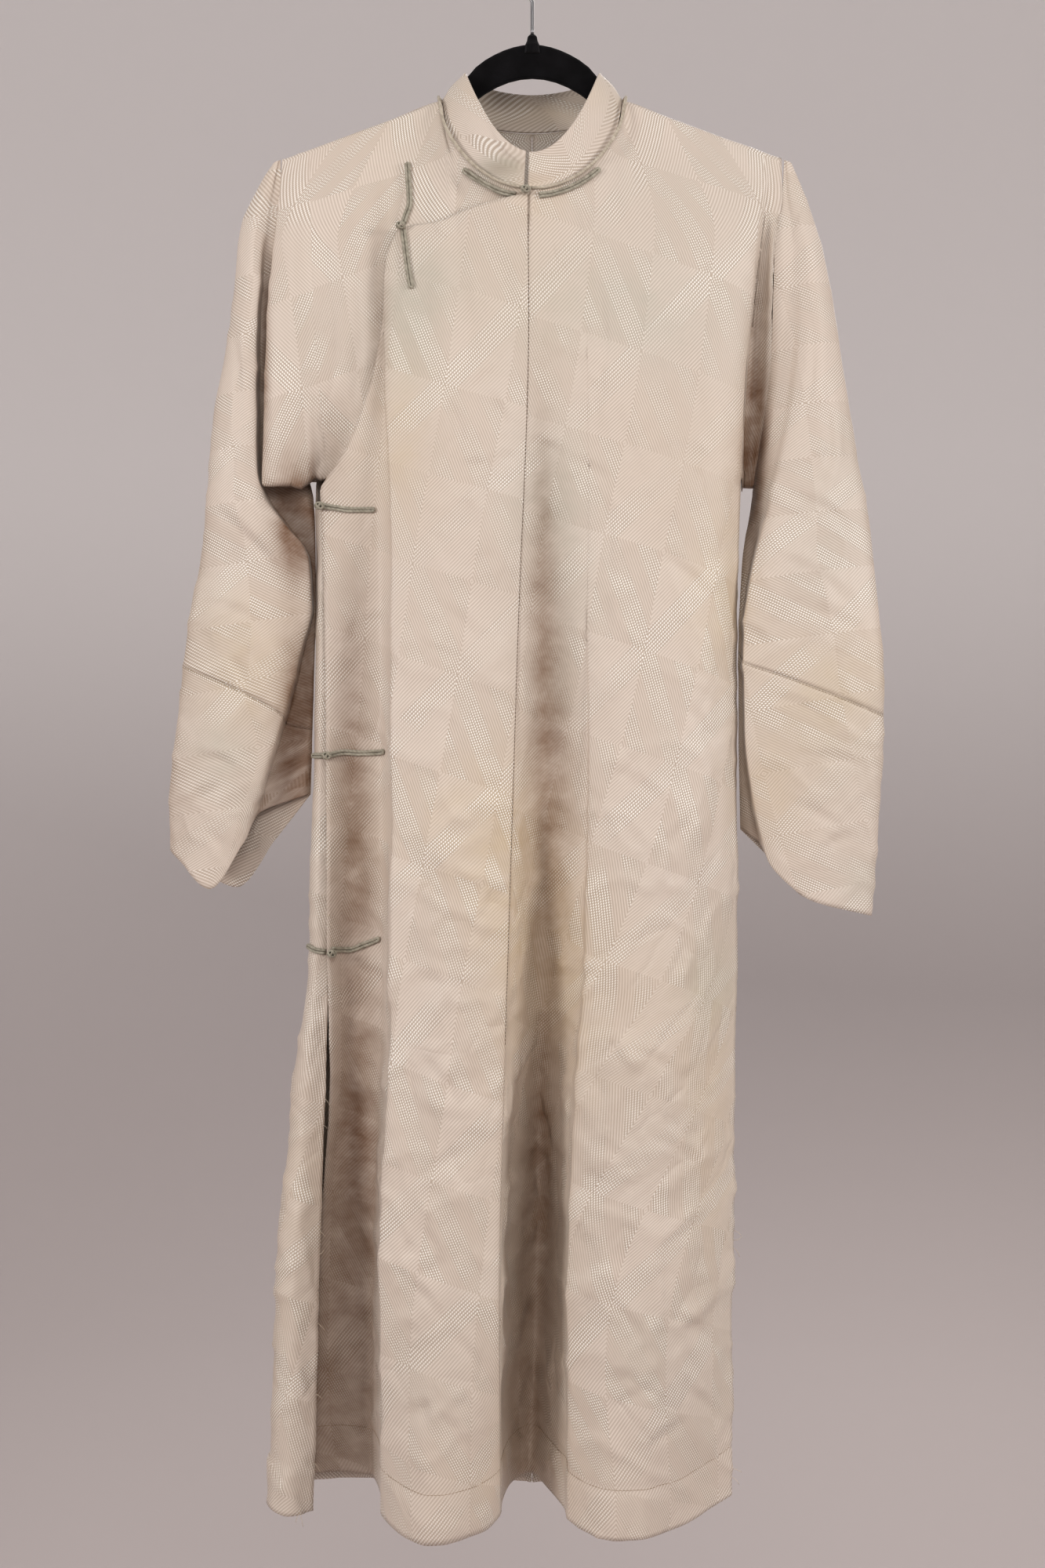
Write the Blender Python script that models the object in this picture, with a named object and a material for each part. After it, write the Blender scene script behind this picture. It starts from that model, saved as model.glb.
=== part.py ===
"""A cream silk damask Chinese robe, hanging closed on a flocked clothes hanger.

Metres, +Z up. The origin is the inside top of the hanger's hook, and the robe's front faces -Y.
Tables are in millimetres: "drop" is the distance below the hook's inside top, x is to the viewer's right,
and depth is behind the hanger's middle plane, so the front of the robe has a negative depth.
"""
import math
from typing import NamedTuple

import bpy
from mathutils import Vector

# Driving dimensions, in millimetres

MM = 0.001
CLOTH = 1.2                 # thickness of a cloth wall, silk with its turned edges
SEAM_GAP = 0.3              # space between two pieces that are sewn together
SEAM_SHARE = 0.012          # the same as a share of the space between two lines
VALLEY_SHARE = 0.06         # the same where a sleeve meets the body's drape
COLLAR_CLOTH = 2.0          # the collar band is stiffened

NECK_HALF_WIDTH = 78.0
NECK_HALF_DEPTH = 40.0
NECK_SIDE_DROP = 134.0
NECK_FRONT_DROP = 219.0
NECK_BACK_DROP = 151.0
NECK_ROUNDNESS = 1.14       # how square the neckline's curve is; 1 is an ellipse
SHOULDER_SLOPE = 0.37
LIP_RADIUS = 4.3            # the cloth's bend over the hanger
TIP_RADIUS = 6.0            # the cloth's bend over the hanger's end
TIP_STEP = 3.0              # the drape beside a sleeve starts this far inside the sleeve's own start
LEFT_TIP = 214.5            # x where the hanger's ends carry the sleeves
RIGHT_TIP = -214.0

COLLAR_TOP_HALF_WIDTH = 57.5
COLLAR_TOP_SIDE_DROP = 110.0
COLLAR_TOP_FRONT_DROP = 188.0
COLLAR_TOP_BACK_DROP = 117.0
COLLAR_BULGE = 2.0
COLLAR_RISE = 1.2           # the band's foot clears the neckline by this much
COLLAR_INSET = 0.6
COLLAR_ROUNDNESS = 1.9      # how late the band's top edge dips towards the front and back
COLLAR_LEAN = 0.97          # depth of the band's top edge, as a share of its foot's

ARMPIT_DROP = 455.0
UNDER_FRONT_HEM = 882.0
CORD_RADIUS = 1.25
CORD_GAP = 0.3              # space between the two runs of a frog's leg
CORD_STEP = 6.0             # space between the points of a leg's route
KNOT_RADIUS = 3.6
PIPING_RADIUS = 1.4
PIPING_GAP = 0.45
PIPING_RISE = 2.1           # how far the piping stands off the shoulder, in its own reach

HANGER_HALF_SPAN = 203.0
HANGER_THICKNESS = 5.4
HANGER_ARM_DEPTH = 24.0
HANGER_TOP_DROP = 86.0
BOSS_TOP_DROP = 78.0
UNDER_COLLAR = 6.4          # the hanger's arms pass this far below the band's outer face
NECK_DIP_DROP = 143.5       # and no higher than this where the neckline crosses them
HANGER_UNDER_CLOTH = 1.2    # space between the arms and the cloth that lies on them
HANGER_EDGE = 2.2           # rounding of the hanger's edges
ARCH_TOP_FALL = 25.0        # how far the arch's top edge falls by ARCH_TOP_REACH from the middle
ARCH_TOP_REACH = 56.0
ARCH_LOW_DROP = 115.0       # the arch's lower edge, which falls by ARCH_LOW_FALL over ARCH_LOW_REACH
ARCH_LOW_FALL = 18.0
ARCH_LOW_REACH = 47.0
ARM_TAPER = 0.045           # how much shallower the arm gets for each millimetre outward
ARCH_TOP_ROUNDNESS = 1.9
BOSS_SIDES = 16
BOSS_PROFILE = ((2.6, 78.0), (4.0, 79.6), (4.6, 83.0), (6.4, 87.0), (7.2, 94.0))   # radius and drop
WIRE_RADIUS = 1.5
HOOK_INNER_RADIUS = 20.0
HOOK_SWEEP = 26.0           # height of the hook's bend back to the middle
HOOK_STEM_DROPS = (54, 66)
HOOK_TIP_ANGLE = -35.0      # degrees below level at the hook's open end

# Drops at which the fold tables give each fold's place

SECTION_DROPS = (320.0, 600.0, 860.0, 955.0, 1131.0, 1332.0)
BODY_ROW_DROPS = (262, 300, 345, 390, 425, ARMPIT_DROP, 480, 520, 580, 645, 720, 800, 860,
                  930, 1000, 1070, 1140, 1205, 1268)
SLEEVE_ROW_DROPS = (262, 300, 345, 390, 425, ARMPIT_DROP, 480, 505, 535, 570)
HEAD_STEPS = (0.0, 1.3, 4.3)     # drops below the shoulder line of the rows that bend over the hanger
HEAD_ROWS = 3                    # rows between that bend and the first level row
HEAD_EVENNESS = 1.2              # how much those rows gather at the top; 1 is even
FOOT_ROWS = 2                    # rows between the last level row and the hem


class Fold(NamedTuple):
    """One fold line down the robe: where it starts, then x and depth at each of SECTION_DROPS."""
    name: str
    top: float
    x: tuple
    depth: tuple
    hem: float


class Turn(NamedTuple):
    """One line of the drape between body and sleeve: its start, then x and depth at chest and armpit."""
    name: str
    top: float
    x: tuple
    depth: tuple


class SleeveRow(NamedTuple):
    """One section of a sleeve: drop, then the x of its edges and the depths of its faces."""
    drop: float
    outer: float
    crest: float
    inner: float
    front: float
    inside: float
    back: float


class Leg(NamedTuple):
    """One leg of a frog closure: its points (x, drop) from the knot outward, and its space off the panel."""
    name: str
    panel: str
    route: tuple
    lift: float = 0.7


class Knot(NamedTuple):
    """A frog's ball knot: the panel that it lies on, its place there, and its space off the panel."""
    name: str
    panel: str
    x: float
    drop: float
    lift: float


FRONT_FOLDS = (
    #    name          top     x at the six sections                     depth at the six sections      hem
    Fold("lap_edge", -189, (-184, -175, -173, -167, -184, -191), (-18, -14, -11, -1, 22, 38), 1311),
    Fold("trough_a", -169, (-157, -151, -153, -155, -162, -168), (-24, -14, 4, 14, 32, 42), 1311),
    Fold("corner_a", -149, (-139, -129, -128, -130, -138, -139), (-27, -16, 0, 8, 26, 36), 1312),
    Fold("crease_a", -126, (-123, -117, -117, -119, -125, -127), (-30, -42, -50, -54, -60, -30), 1322),
    Fold("rise_a", -103, (-98, -97, -96, -99, -102, -105), (-34, -47, -56, -60, -67, -66), 1331),
    Fold("ridge_a", -78, (-72, -74, -75, -77, -82, -86), (-38, -50, -60, -64, -71, -76), 1335),
    Fold("collar_a", -73, (-62, -64, -66, -68, -73, -74), (-38, -50, -60, -64, -71, -75), 1335),
    Fold("neck_a", -62, (-49, -52, -56, -58, -62, -62), (-39, -50, -60, -64, -70, -70), 1334),
    Fold("slope_a", -45, (-36, -40, -46, -48, -52, -52), (-40, -49, -59, -63, -69, -62), 1333),
    Fold("fall_a", -24, (-18, -26, -33, -35, -40, -38), (-41, -48, -56, -60, -66, -46), 1331),
    Fold("centre", -4, (-3, -12, -20, -23, -27, -26), (-41, -46, -53, -56, -60, -20), 1326),
    Fold("wall_b", 7, (6, -6, -14, -18, -22, -19), (-41, -43, -38, -26, -8, 22), 1315),
    Fold("trough_b", 19, (19, 11, 8, 6, 4, -3), (-41, -38, -12, 8, 36, 42), 1311),
    Fold("wall_c", 31, (32, 30, 31, 24, 20, 14), (-41, -42, -28, -8, 10, 8), 1316),
    Fold("edge_c", 46, (46, 47, 44, 37, 28, 28), (-41, -46, -50, -54, -54, -34), 1326),
    Fold("ridge_c", 62, (72, 72, 72, 70, 62, 56), (-40, -50, -60, -64, -68, -64), 1333),
    Fold("collar_c", 73, (86, 86, 86, 84, 78, 72), (-39, -50, -60, -64, -68, -65), 1334),
    Fold("neck_c", 78, (102, 102, 102, 101, 98, 88), (-38, -48, -58, -62, -66, -64), 1334),
    Fold("slope_c", 122, (131, 130, 129, 127, 124, 119), (-33, -40, -48, -50, -54, -42), 1332),
    Fold("near_side", 164, (162, 157, 155, 154, 151, 149), (-25, -26, -28, -29, -30, -20), 1322),
    Fold("side", 197, (184, 173, 173, 172, 169, 168), (-10, -8, -6, -6, -6, -8), 1315),
)

UNDER_FOLDS = (
    Fold("side", -189, (-184, -164, -164, -164, -164, -164), (-14, 8, 14, 14, 14, 14), UNDER_FRONT_HEM),
    Fold("trough", -169, (-157, -146, -146, -146, -146, -146), (-20, 7, 14, 14, 14, 14), UNDER_FRONT_HEM),
    Fold("corner", -149, (-139, -129, -129, -129, -129, -129), (-23, 5, 14, 14, 14, 14), UNDER_FRONT_HEM),
    Fold("crease", -126, (-121, -112, -112, -112, -112, -112), (-26, -6, 13, 13, 13, 13), UNDER_FRONT_HEM),
    Fold("rise", -103, (-98, -92, -92, -92, -92, -92), (-30, -16, 12, 12, 12, 12), UNDER_FRONT_HEM),
    Fold("ridge", -78, (-72, -70, -70, -70, -70, -70), (-34, -24, 10, 10, 10, 10), UNDER_FRONT_HEM),
    Fold("collar", -73, (-62, -60, -60, -60, -60, -60), (-34, -25, 9, 9, 9, 9), UNDER_FRONT_HEM),
    Fold("neck", -62, (-49, -46, -46, -46, -46, -46), (-35, -26, 8, 8, 8, 8), UNDER_FRONT_HEM),
    Fold("slope", -45, (-36, -32, -32, -32, -32, -32), (-36, -28, 7, 7, 7, 7), UNDER_FRONT_HEM),
    Fold("fall", -24, (-20, -20, -20, -20, -20, -20), (-36, -29, 6, 6, 6, 6), UNDER_FRONT_HEM),
    Fold("end", -6, (-6, -8, -8, -8, -8, -8), (-36, -30, 5, 5, 5, 5), UNDER_FRONT_HEM),
)

# The back's folds run from the viewer's left to right
BACK_FOLDS = (
    Fold("side_right", -189, (-184, -185, -191, -201, -217, -226), (28, 3, 4, 6, 8, 10), 1326),
    Fold("near_right", -167, (-164, -172, -178, -188, -202, -210), (33, 26, 30, 34, 38, 44), 1324),
    Fold("back_a", -122, (-128, -132, -136, -142, -152, -158), (36, 40, 46, 50, 56, 64), 1324),
    Fold("back_b", -78, (-88, -90, -92, -94, -100, -104), (37, 40, 44, 47, 52, 58), 1326),
    Fold("neck_b", -64, (-64, -64, -64, -65, -68, -70), (38, 42, 50, 54, 62, 70), 1328),
    Fold("back_c", -36, (-36, -36, -36, -36, -37, -38), (38, 44, 54, 58, 66, 76), 1328),
    Fold("centre", 0, (0, 0, 0, 0, 0, 0), (38, 42, 48, 50, 54, 60), 1326),
    Fold("back_d", 36, (36, 36, 36, 36, 37, 38), (38, 44, 52, 56, 64, 72), 1328),
    Fold("neck_e", 64, (64, 64, 64, 65, 66, 67), (38, 42, 48, 52, 60, 66), 1327),
    Fold("back_e", 78, (88, 88, 88, 88, 89, 90), (37, 40, 44, 46, 50, 56), 1326),
    Fold("back_f", 122, (128, 124, 124, 124, 124, 124), (36, 38, 44, 48, 56, 64), 1324),
    Fold("near_left", 167, (166, 162, 162, 161, 158, 156), (30, 24, 28, 30, 32, 36), 1320),
    Fold("side_left", 197, (185, 174, 174, 173, 170, 169), (22, -4, -2, -2, -1, -1), 1316),
)

# The back's right side wraps to the front as a strip, whose cut edge is one side of the slit
STRIP_FOLDS = (
    Fold("edge", -168, (-168, -169, -172, -175, -181, -186), (-8, -7, -5, -5, -3, -3), 1330),
    Fold("middle", -178, (-178, -178, -182, -189, -200, -207), (-9, -7, -6, -8, -10, -12), 1332),
)

# Drape between the body and the sleeves, from the body outward
FRONT_TURNS_RIGHT = (
    Turn("flap", -202, (-205, -204), (-19, -16)),
    Turn("flap_edge", -211, (-224, -228), (-11, -9)),
    Turn("flap_back", -212, (-218, -218), (-2, -1)),
)
FRONT_TURNS_LEFT = (
    Turn("gap_edge", 203, (189, 186), (-3, -2)),
)
BACK_TURNS_RIGHT = (
    Turn("flap", -199, (-196, -188), (28, 16)),
    Turn("groove", -205, (-203, -190), (20, 15)),
)
BACK_TURNS_LEFT = (
    Turn("flap", 201, (192, 184), (21, 12)),
    Turn("groove", 206, (198, 188), (17, 13)),
)

# Sleeves, from the shoulder down: "crest" is the front fold next to the body, "inner" the underarm seam
SLEEVE_RIGHT = (
    SleeveRow(200, -229, -219, -213, -4, 0, 5),
    SleeveRow(243, -248, -230, -210, -10, 9, 16),
    SleeveRow(300, -254, -232, -207, -12, 10, 22),
    SleeveRow(350, -262, -234, -203, -14, 11, 27),
    SleeveRow(398, -272, -234, -198, -15, 12, 31),
    SleeveRow(447, -275, -233, -192, -16, 13, 33),
    SleeveRow(470, -277, -228, -190, -16, 14, 34),
    SleeveRow(492, -279, -211, -189, -15, 14, 34),
    SleeveRow(524, -283, -195, -189, -12, 12, 34),
    SleeveRow(560, -289, -193, -189, -12, 10, 32),
    SleeveRow(600, -297, -201, -191, -10, 14, 31),
    SleeveRow(664, -303, -214, -194, -8, 18, 30),
    SleeveRow(728, -310, -236, -198, -6, 20, 29),
    SleeveRow(800, -308, -256, -204, -4, 20, 28),
)
SLEEVE_LEFT = (
    SleeveRow(212, 231, 218, 212, -4, 0, 5),
    SleeveRow(262, 247, 225, 204, -10, 8, 16),
    SleeveRow(301, 255, 226, 201, -13, 9, 22),
    SleeveRow(345, 262, 225, 198, -16, 10, 27),
    SleeveRow(390, 270, 221, 196, -18, 11, 31),
    SleeveRow(434, 277, 213, 192, -19, 12, 33),
    SleeveRow(470, 284, 203, 188, -20, 12, 34),
    SleeveRow(525, 291, 190, 182, -21, 10, 33),
    SleeveRow(580, 296, 182, 179, -22, 8, 32),
    SleeveRow(607, 298, 179, 177, -22, 7, 31),
    SleeveRow(663, 298, 180, 177, -21, 7, 30),
    SleeveRow(745, 294, 190, 177, -20, 8, 28),
    SleeveRow(830, 288, 214, 178, -18, 8, 26),
)
SLEEVE_SPREAD_TOP = 8.0      # front and back valleys stand this far apart above the armpit

# Places round a sleeve, as shares of the way from one row value to the next
TURN_SHARE = 0.22            # from the front layer's edge to the inner edge
FRONT_SHARE = 0.32           # from the front layer's edge to the outer edge
BROW_SHARE = 0.80
BACK_BROW_SHARE = 0.86       # from the inner edge to the outer edge, on the back
BACK_SHARE = 0.52
BACK_CREST_SHARE = 0.24
TURN_DEPTH = 0.45            # from the inside depth to the front depth
FORE_DEPTH = 0.82
FACE_BROW_DEPTH = 0.20       # from the front depth to the back depth
MIDDLE_DEPTH = 0.45
REAR_BROW_DEPTH = 0.88
REAR_CREST_DEPTH = 0.06      # from the inside depth to the back depth
SPREAD_FADE = 60.0           # height above the armpit over which the underarm closes
SPREAD_SPARE = 0.2

# Drops of the slanting seam and of the cuff at the outer edge, on the front and at the inner edge
SEAM_RIGHT = (613, 640, 668)
CUFF_RIGHT = (770, 803, 722)
SEAM_LEFT = (656, 625, 602)
CUFF_LEFT = (826, 812, 752)

# The overlap's cut edge: drop and x, from the chest frog to the armpit frog
LAP_CORNER_DROP = 248.0
LAP_EDGE = ((248, -112), (262, -119), (277, -123), (321, -125), (350, -129), (379, -135), (402, -143),
            (425, -153), (449, -167), (470, -181), (482, -184), (508, -179), (552, -175))
LAP_LIFT = 3.2               # the overlap lies this far in front of the yoke at its edge
LAP_TOP_LIFT = 2.4           # and this far at its top edge, below the collar
LAP_LIFT_REACH = 0.87        # share of the way to the centre seam where the edge's lift ends
LAP_LIFT_FOOT = 520.0        # drop below which the edge lies flat again
LAP_LIFT_FADE = 60.0
LAP_TOP_FADE = 34.0
YOKE_TUCK_DROP = 14.0        # the yoke steps back this far below the neckline
YOKE_TUCK = 3.2
HALVINGS = 24                # steps of a search for a place on a surface
SHARP_ANGLE = 50.0           # degrees between two faces that look like a hard edge

FROG_LEGS = (
    Leg("chest_up", "yoke", ((-108, 239), (-103, 226), (-104, 208), (-105, 193))),
    Leg("chest_down", "overlap", ((-106, 253), (-106, 266), (-103, 281), (-101, 297))),
    Leg("armpit_in", "overlap", ((-170, 481), (-160, 482), (-149, 483), (-137, 483))),
    Leg("waist_in", "overlap", ((-169, 689), (-158, 688), (-145, 688), (-133, 686))),
    Leg("waist_out", "strip", ((-181, 690), (-186, 690), (-190, 690))),
    Leg("hip_in", "overlap", ((-166, 853), (-154, 853), (-144, 849), (-133, 845)), 1.6),
    Leg("hip_out", "strip", ((-177, 856), (-184, 855), (-190, 854))),
)
COLLAR_LEG_START_RIGHT = 22.0  # the collar frog's legs start this far from the middle
COLLAR_LEG_START_LEFT = 7.0
COLLAR_LEG_END = 48.0        # the collar frog's legs run this far beside the piping, either side
COLLAR_LEG_OFFSET = 7.0
KNOTS = (
    Knot("collar", "front", -4.7, 222, 2.7),
    Knot("chest", "overlap", -109.5, 249, 0.5),
    Knot("armpit", "overlap", -184, 480, 0.5),
    Knot("waist", "overlap", -173.5, 690, 0.5),
    Knot("hip", "overlap", -171.5, 857, 0.5),
)


def monotone(knots: list, values: list, at: float) -> float:
    """Smooth curve through (knots, values) that never swings past its own values."""
    last = len(knots) - 1
    if at <= knots[0]:
        return values[0]
    if at >= knots[last]:
        return values[last]
    i = 0
    while knots[i + 1] < at:
        i += 1
    slope = [(values[k + 1] - values[k]) / (knots[k + 1] - knots[k]) for k in range(last)]

    def tangent(k: int) -> float:
        if k == 0:
            return slope[0]
        if k == last:
            return slope[last - 1]
        if slope[k - 1] * slope[k] <= 0:
            return 0.0
        return 2 * slope[k - 1] * slope[k] / (slope[k - 1] + slope[k])

    width = knots[i + 1] - knots[i]
    u = (at - knots[i]) / width
    rise = values[i + 1] - values[i]
    start, end = tangent(i) * width, tangent(i + 1) * width
    return values[i] + u * start + u * u * (3 * rise - 2 * start - end) + u ** 3 * (start + end - 2 * rise)


def blend(a: float, b: float, share: float) -> float:
    """The value a share of the way from a to b."""
    return a + (b - a) * share


# Neck and shoulder line

def neck_drop(x: float, front: bool) -> float:
    """Drop of the neckline at x."""
    cosine = math.sqrt(max(0.0, 1 - (x / NECK_HALF_WIDTH) ** 2))
    deepest = NECK_FRONT_DROP if front else NECK_BACK_DROP
    return NECK_SIDE_DROP + (deepest - NECK_SIDE_DROP) * cosine ** NECK_ROUNDNESS


def neck_depth(x: float, front: bool) -> float:
    """Depth of the neckline at x."""
    depth = NECK_HALF_DEPTH * math.sqrt(max(0.0, 1 - (x / NECK_HALF_WIDTH) ** 2))
    return -depth if front else depth


def shoulder_drop(x: float) -> float:
    """Drop of the shoulder line at x, outside the neck."""
    return NECK_SIDE_DROP + (abs(x) - NECK_HALF_WIDTH) * SHOULDER_SLOPE


def top_of(x: float, front: bool) -> tuple:
    """Drop and depth of the neck or shoulder line at x."""
    side = SEAM_GAP / 2
    if abs(x) < NECK_HALF_WIDTH - 0.5:
        depth = neck_depth(x, front)
        return neck_drop(x, front), min(depth, -side) if front else max(depth, side)
    return shoulder_drop(x), -side if front else side


# Lines down the robe: each gives its top, its foot and the point at a drop

class Line:
    """A line down the cloth, from its top to its foot, with x and depth smooth in between."""

    def __init__(self, top_x: float, drops: tuple, xs: tuple, depths: tuple, foot: float, front: bool):
        top, depth = top_of(top_x, front)
        self.top = top
        self.foot = foot
        lip = abs(top_x) >= NECK_HALF_WIDTH - 0.5
        sign = -1 if front else 1
        if lip:
            head = [top, top + HEAD_STEPS[1], top + HEAD_STEPS[2]]
            head_depth = [depth, sign * LIP_RADIUS * 0.7, sign * LIP_RADIUS]
        else:
            head = [top]
            head_depth = [depth]
        self.x_knots = [top, *drops]
        self.xs = [top_x, *xs]
        self.depth_knots = [*head, *drops]
        self.depths = [*head_depth, *depths]

    def tuck(self, drop: float, depth: float) -> None:
        """Move the line back by depth from a drop below its top onward, for a piece worn underneath."""
        self.depth_knots.insert(1, self.top + drop)
        self.depths.insert(1, self.depths[0] + depth)

    def at(self, drop: float) -> Vector:
        """Point of the line at a drop."""
        return Vector((monotone(self.x_knots, self.xs, drop), monotone(self.depth_knots, self.depths, drop),
                       -drop))


def fold_line(fold: Fold, front: bool) -> Line:
    """The line of a fold in the body."""
    return Line(fold.top, SECTION_DROPS, fold.x, fold.depth, fold.hem, front)


def turn_line(turn: Turn, front: bool) -> Line:
    """The line of a turn in the drape beside a sleeve."""
    return Line(turn.top, (SECTION_DROPS[0], ARMPIT_DROP), turn.x, turn.depth, ARMPIT_DROP, front)


class SleeveLine(Line):
    """A line down a sleeve, at a share of the way round it."""

    def __init__(self, tip_x: float, drops: list, xs: list, depths: list, seam: float, cuff: float):
        self.top = shoulder_drop(tip_x)
        self.foot = seam
        self.cuff = cuff
        self.x_knots = [self.top, *drops]
        self.xs = [tip_x, *xs]
        self.depth_knots = [self.top, *drops]
        self.depths = [depths[0] * 0.5, *depths]


def sleeve_lines(rows: tuple, tip_x: float, seam: tuple, cuff: tuple) -> list:
    """Lines round a sleeve from the underarm over the front to the outer edge and back again."""
    drops = [row.drop for row in rows]
    inner = [row.inner for row in rows]
    turn = [blend(row.crest, row.inner, TURN_SHARE) for row in rows]
    crest = [row.crest for row in rows]
    front = [blend(row.crest, row.outer, FRONT_SHARE) for row in rows]
    brow = [blend(row.crest, row.outer, BROW_SHARE) for row in rows]
    outer = [row.outer for row in rows]
    back_brow = [blend(row.inner, row.outer, BACK_BROW_SHARE) for row in rows]
    back = [blend(row.inner, row.outer, BACK_SHARE) for row in rows]
    back_crest = [blend(row.inner, row.outer, BACK_CREST_SHARE) for row in rows]

    def spread(drop: float) -> float:
        fade = min(1.0, (ARMPIT_DROP - drop) / SPREAD_FADE)
        return max(2 * CLOTH + SEAM_GAP + SPREAD_SPARE, SLEEVE_SPREAD_TOP * fade)

    inside_front = [row.inside - spread(row.drop) / 2 for row in rows]
    inside_back = [row.inside + spread(row.drop) / 2 for row in rows]
    turned = [blend(row.inside, row.front, TURN_DEPTH) for row in rows]
    fore = [blend(row.inside, row.front, FORE_DEPTH) for row in rows]
    face = [row.front for row in rows]
    face_brow = [blend(row.front, row.back, FACE_BROW_DEPTH) for row in rows]
    middle = [blend(row.front, row.back, MIDDLE_DEPTH) for row in rows]
    rear_brow = [blend(row.front, row.back, REAR_BROW_DEPTH) for row in rows]
    rear = [row.back for row in rows]
    rear_crest = [blend(row.inside, row.back, REAR_CREST_DEPTH) + spread(row.drop) / 2 for row in rows]
    outer_seam, front_seam, inner_seam = seam
    outer_cuff, front_cuff, inner_cuff = cuff

    def line(xs: list, depths: list, around: float) -> SleeveLine:
        """A line at a place round the sleeve: 0 the inner edge, 0.5 mid front, 1 the outer edge."""
        start = tip_x + math.copysign(TIP_RADIUS * around, tip_x)
        seam_drop = monotone([0, 0.5, 1], [inner_seam, front_seam, outer_seam], around)
        cuff_drop = monotone([0, 0.5, 1], [inner_cuff, front_cuff, outer_cuff], around)
        return SleeveLine(start, drops, xs, depths, seam_drop, cuff_drop)

    return [
        line(inner, inside_front, 0.0), line(turn, turned, 0.1), line(crest, fore, 0.2),
        line(front, face, 0.5), line(brow, face_brow, 0.85), line(outer, middle, 1.0),
        line(back_brow, rear_brow, 0.85), line(back, rear, 0.5), line(back_crest, rear_crest, 0.2),
        line(inner, inside_back, 0.0),
    ]


# Surfaces across the lines

def across(points: list, position: float) -> Vector:
    """The point at a position across a row of points, on a smooth curve through them."""
    knots = list(range(len(points)))
    return Vector([monotone(knots, [point[axis] for point in points], position) for axis in range(3)])


def row_drops(line: Line, level_drops: list, row: float) -> float:
    """Drop of a line at a row: bend rows over the hanger, level rows, then rows to its foot."""
    first, last = level_drops[0], level_drops[-1]
    bends = len(HEAD_STEPS)
    knots, drops = [], []
    for k, step in enumerate(HEAD_STEPS):
        knots.append(k)
        drops.append(line.top + step)
    start = line.top + HEAD_STEPS[-1]
    for k in range(1, HEAD_ROWS):
        knots.append(bends - 1 + k)
        drops.append(blend(start, first, (k / HEAD_ROWS) ** HEAD_EVENNESS))
    base = bends - 1 + HEAD_ROWS
    for k, drop in enumerate(level_drops):
        knots.append(base + k)
        drops.append(drop)
    for k in range(1, FOOT_ROWS + 1):
        knots.append(base + len(level_drops) - 1 + k)
        drops.append(blend(last, line.foot, k / FOOT_ROWS))
    whole = int(row)
    if whole >= len(drops) - 1:
        return drops[-1]
    return blend(drops[whole], drops[whole + 1], row - whole)


def row_count(level_drops: list) -> int:
    """Index of the last row of a panel with these level rows."""
    return len(HEAD_STEPS) - 1 + HEAD_ROWS + len(level_drops) - 1 + FOOT_ROWS


def armpit_row(level_drops: list) -> int:
    """Index of the row at the armpit."""
    return len(HEAD_STEPS) - 1 + HEAD_ROWS + level_drops.index(ARMPIT_DROP)


class Sheet:
    """A sheet of cloth gathered from patches, made into a closed wall."""

    def __init__(self):
        self.points = []
        self.normals = []
        self.quads = []
        self.clamped = {}
        self.index = {}

    def vertex(self, point: Vector, normal: Vector) -> int:
        """Index of the vertex at a point, shared with any patch that has the same point."""
        key = tuple(round(value, 4) for value in point)
        if key not in self.index:
            self.index[key] = len(self.points)
            self.points.append(point)
            self.normals.append(Vector((0, 0, 0)))
        found = self.index[key]
        self.normals[found] += normal
        return found

    def patch(self, surface, columns: list, rows: list, clamp_top: int = 0) -> None:
        """Add a grid of a surface(column, row); its outer side is to the right of the columns' way.

        clamp_top is -1 or 1 where the first row's inner points must stay in front of or behind the
        hanger's middle plane.
        """
        step = 0.02
        grid = []
        for row in rows:
            line = []
            for column in columns:
                point = surface(column, row)
                low, high = max(column - step, columns[0]), min(column + step, columns[-1])
                up, down = max(row - step, rows[0]), min(row + step, rows[-1])
                along = surface(high, row) - surface(low, row)
                fall = surface(column, down) - surface(column, up)
                normal = fall.cross(along)
                if normal.length < 1e-9:
                    normal = Vector((0, clamp_top or -1, 0))
                index = self.vertex(point, normal.normalized())
                if clamp_top and row == rows[0]:
                    self.clamped[index] = clamp_top
                line.append(index)
            grid.append(line)
        for upper, lower in zip(grid, grid[1:]):
            for k in range(len(columns) - 1):
                self.quads.append((upper[k], lower[k], lower[k + 1], upper[k + 1]))

    def wall(self, name: str, thickness: float, material: bpy.types.Material) -> bpy.types.Object:
        """Close the sheet into a wall whose outer side is the sheet, and make its object."""
        inner = []
        for k, (point, normal) in enumerate(zip(self.points, self.normals)):
            inside = point - normal.normalized() * thickness
            if k in self.clamped:
                side = self.clamped[k] * SEAM_GAP / 2
                inside.y = min(inside.y, side) if side < 0 else max(inside.y, side)
            inner.append(inside)
        count = len(self.points)
        faces = [tuple(dict.fromkeys(quad)) for quad in self.quads if len(set(quad)) > 2]
        shared = {}
        for face in faces:
            for a, b in zip(face, face[1:] + face[:1]):
                shared[(a, b)] = shared.get((a, b), 0) + 1
        rims = [(b, a, a + count, b + count) for a, b in shared if (b, a) not in shared]
        backs = [tuple(corner + count for corner in reversed(face)) for face in faces]
        return mesh_object(name, self.points + inner, faces + backs + rims, material)


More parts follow.
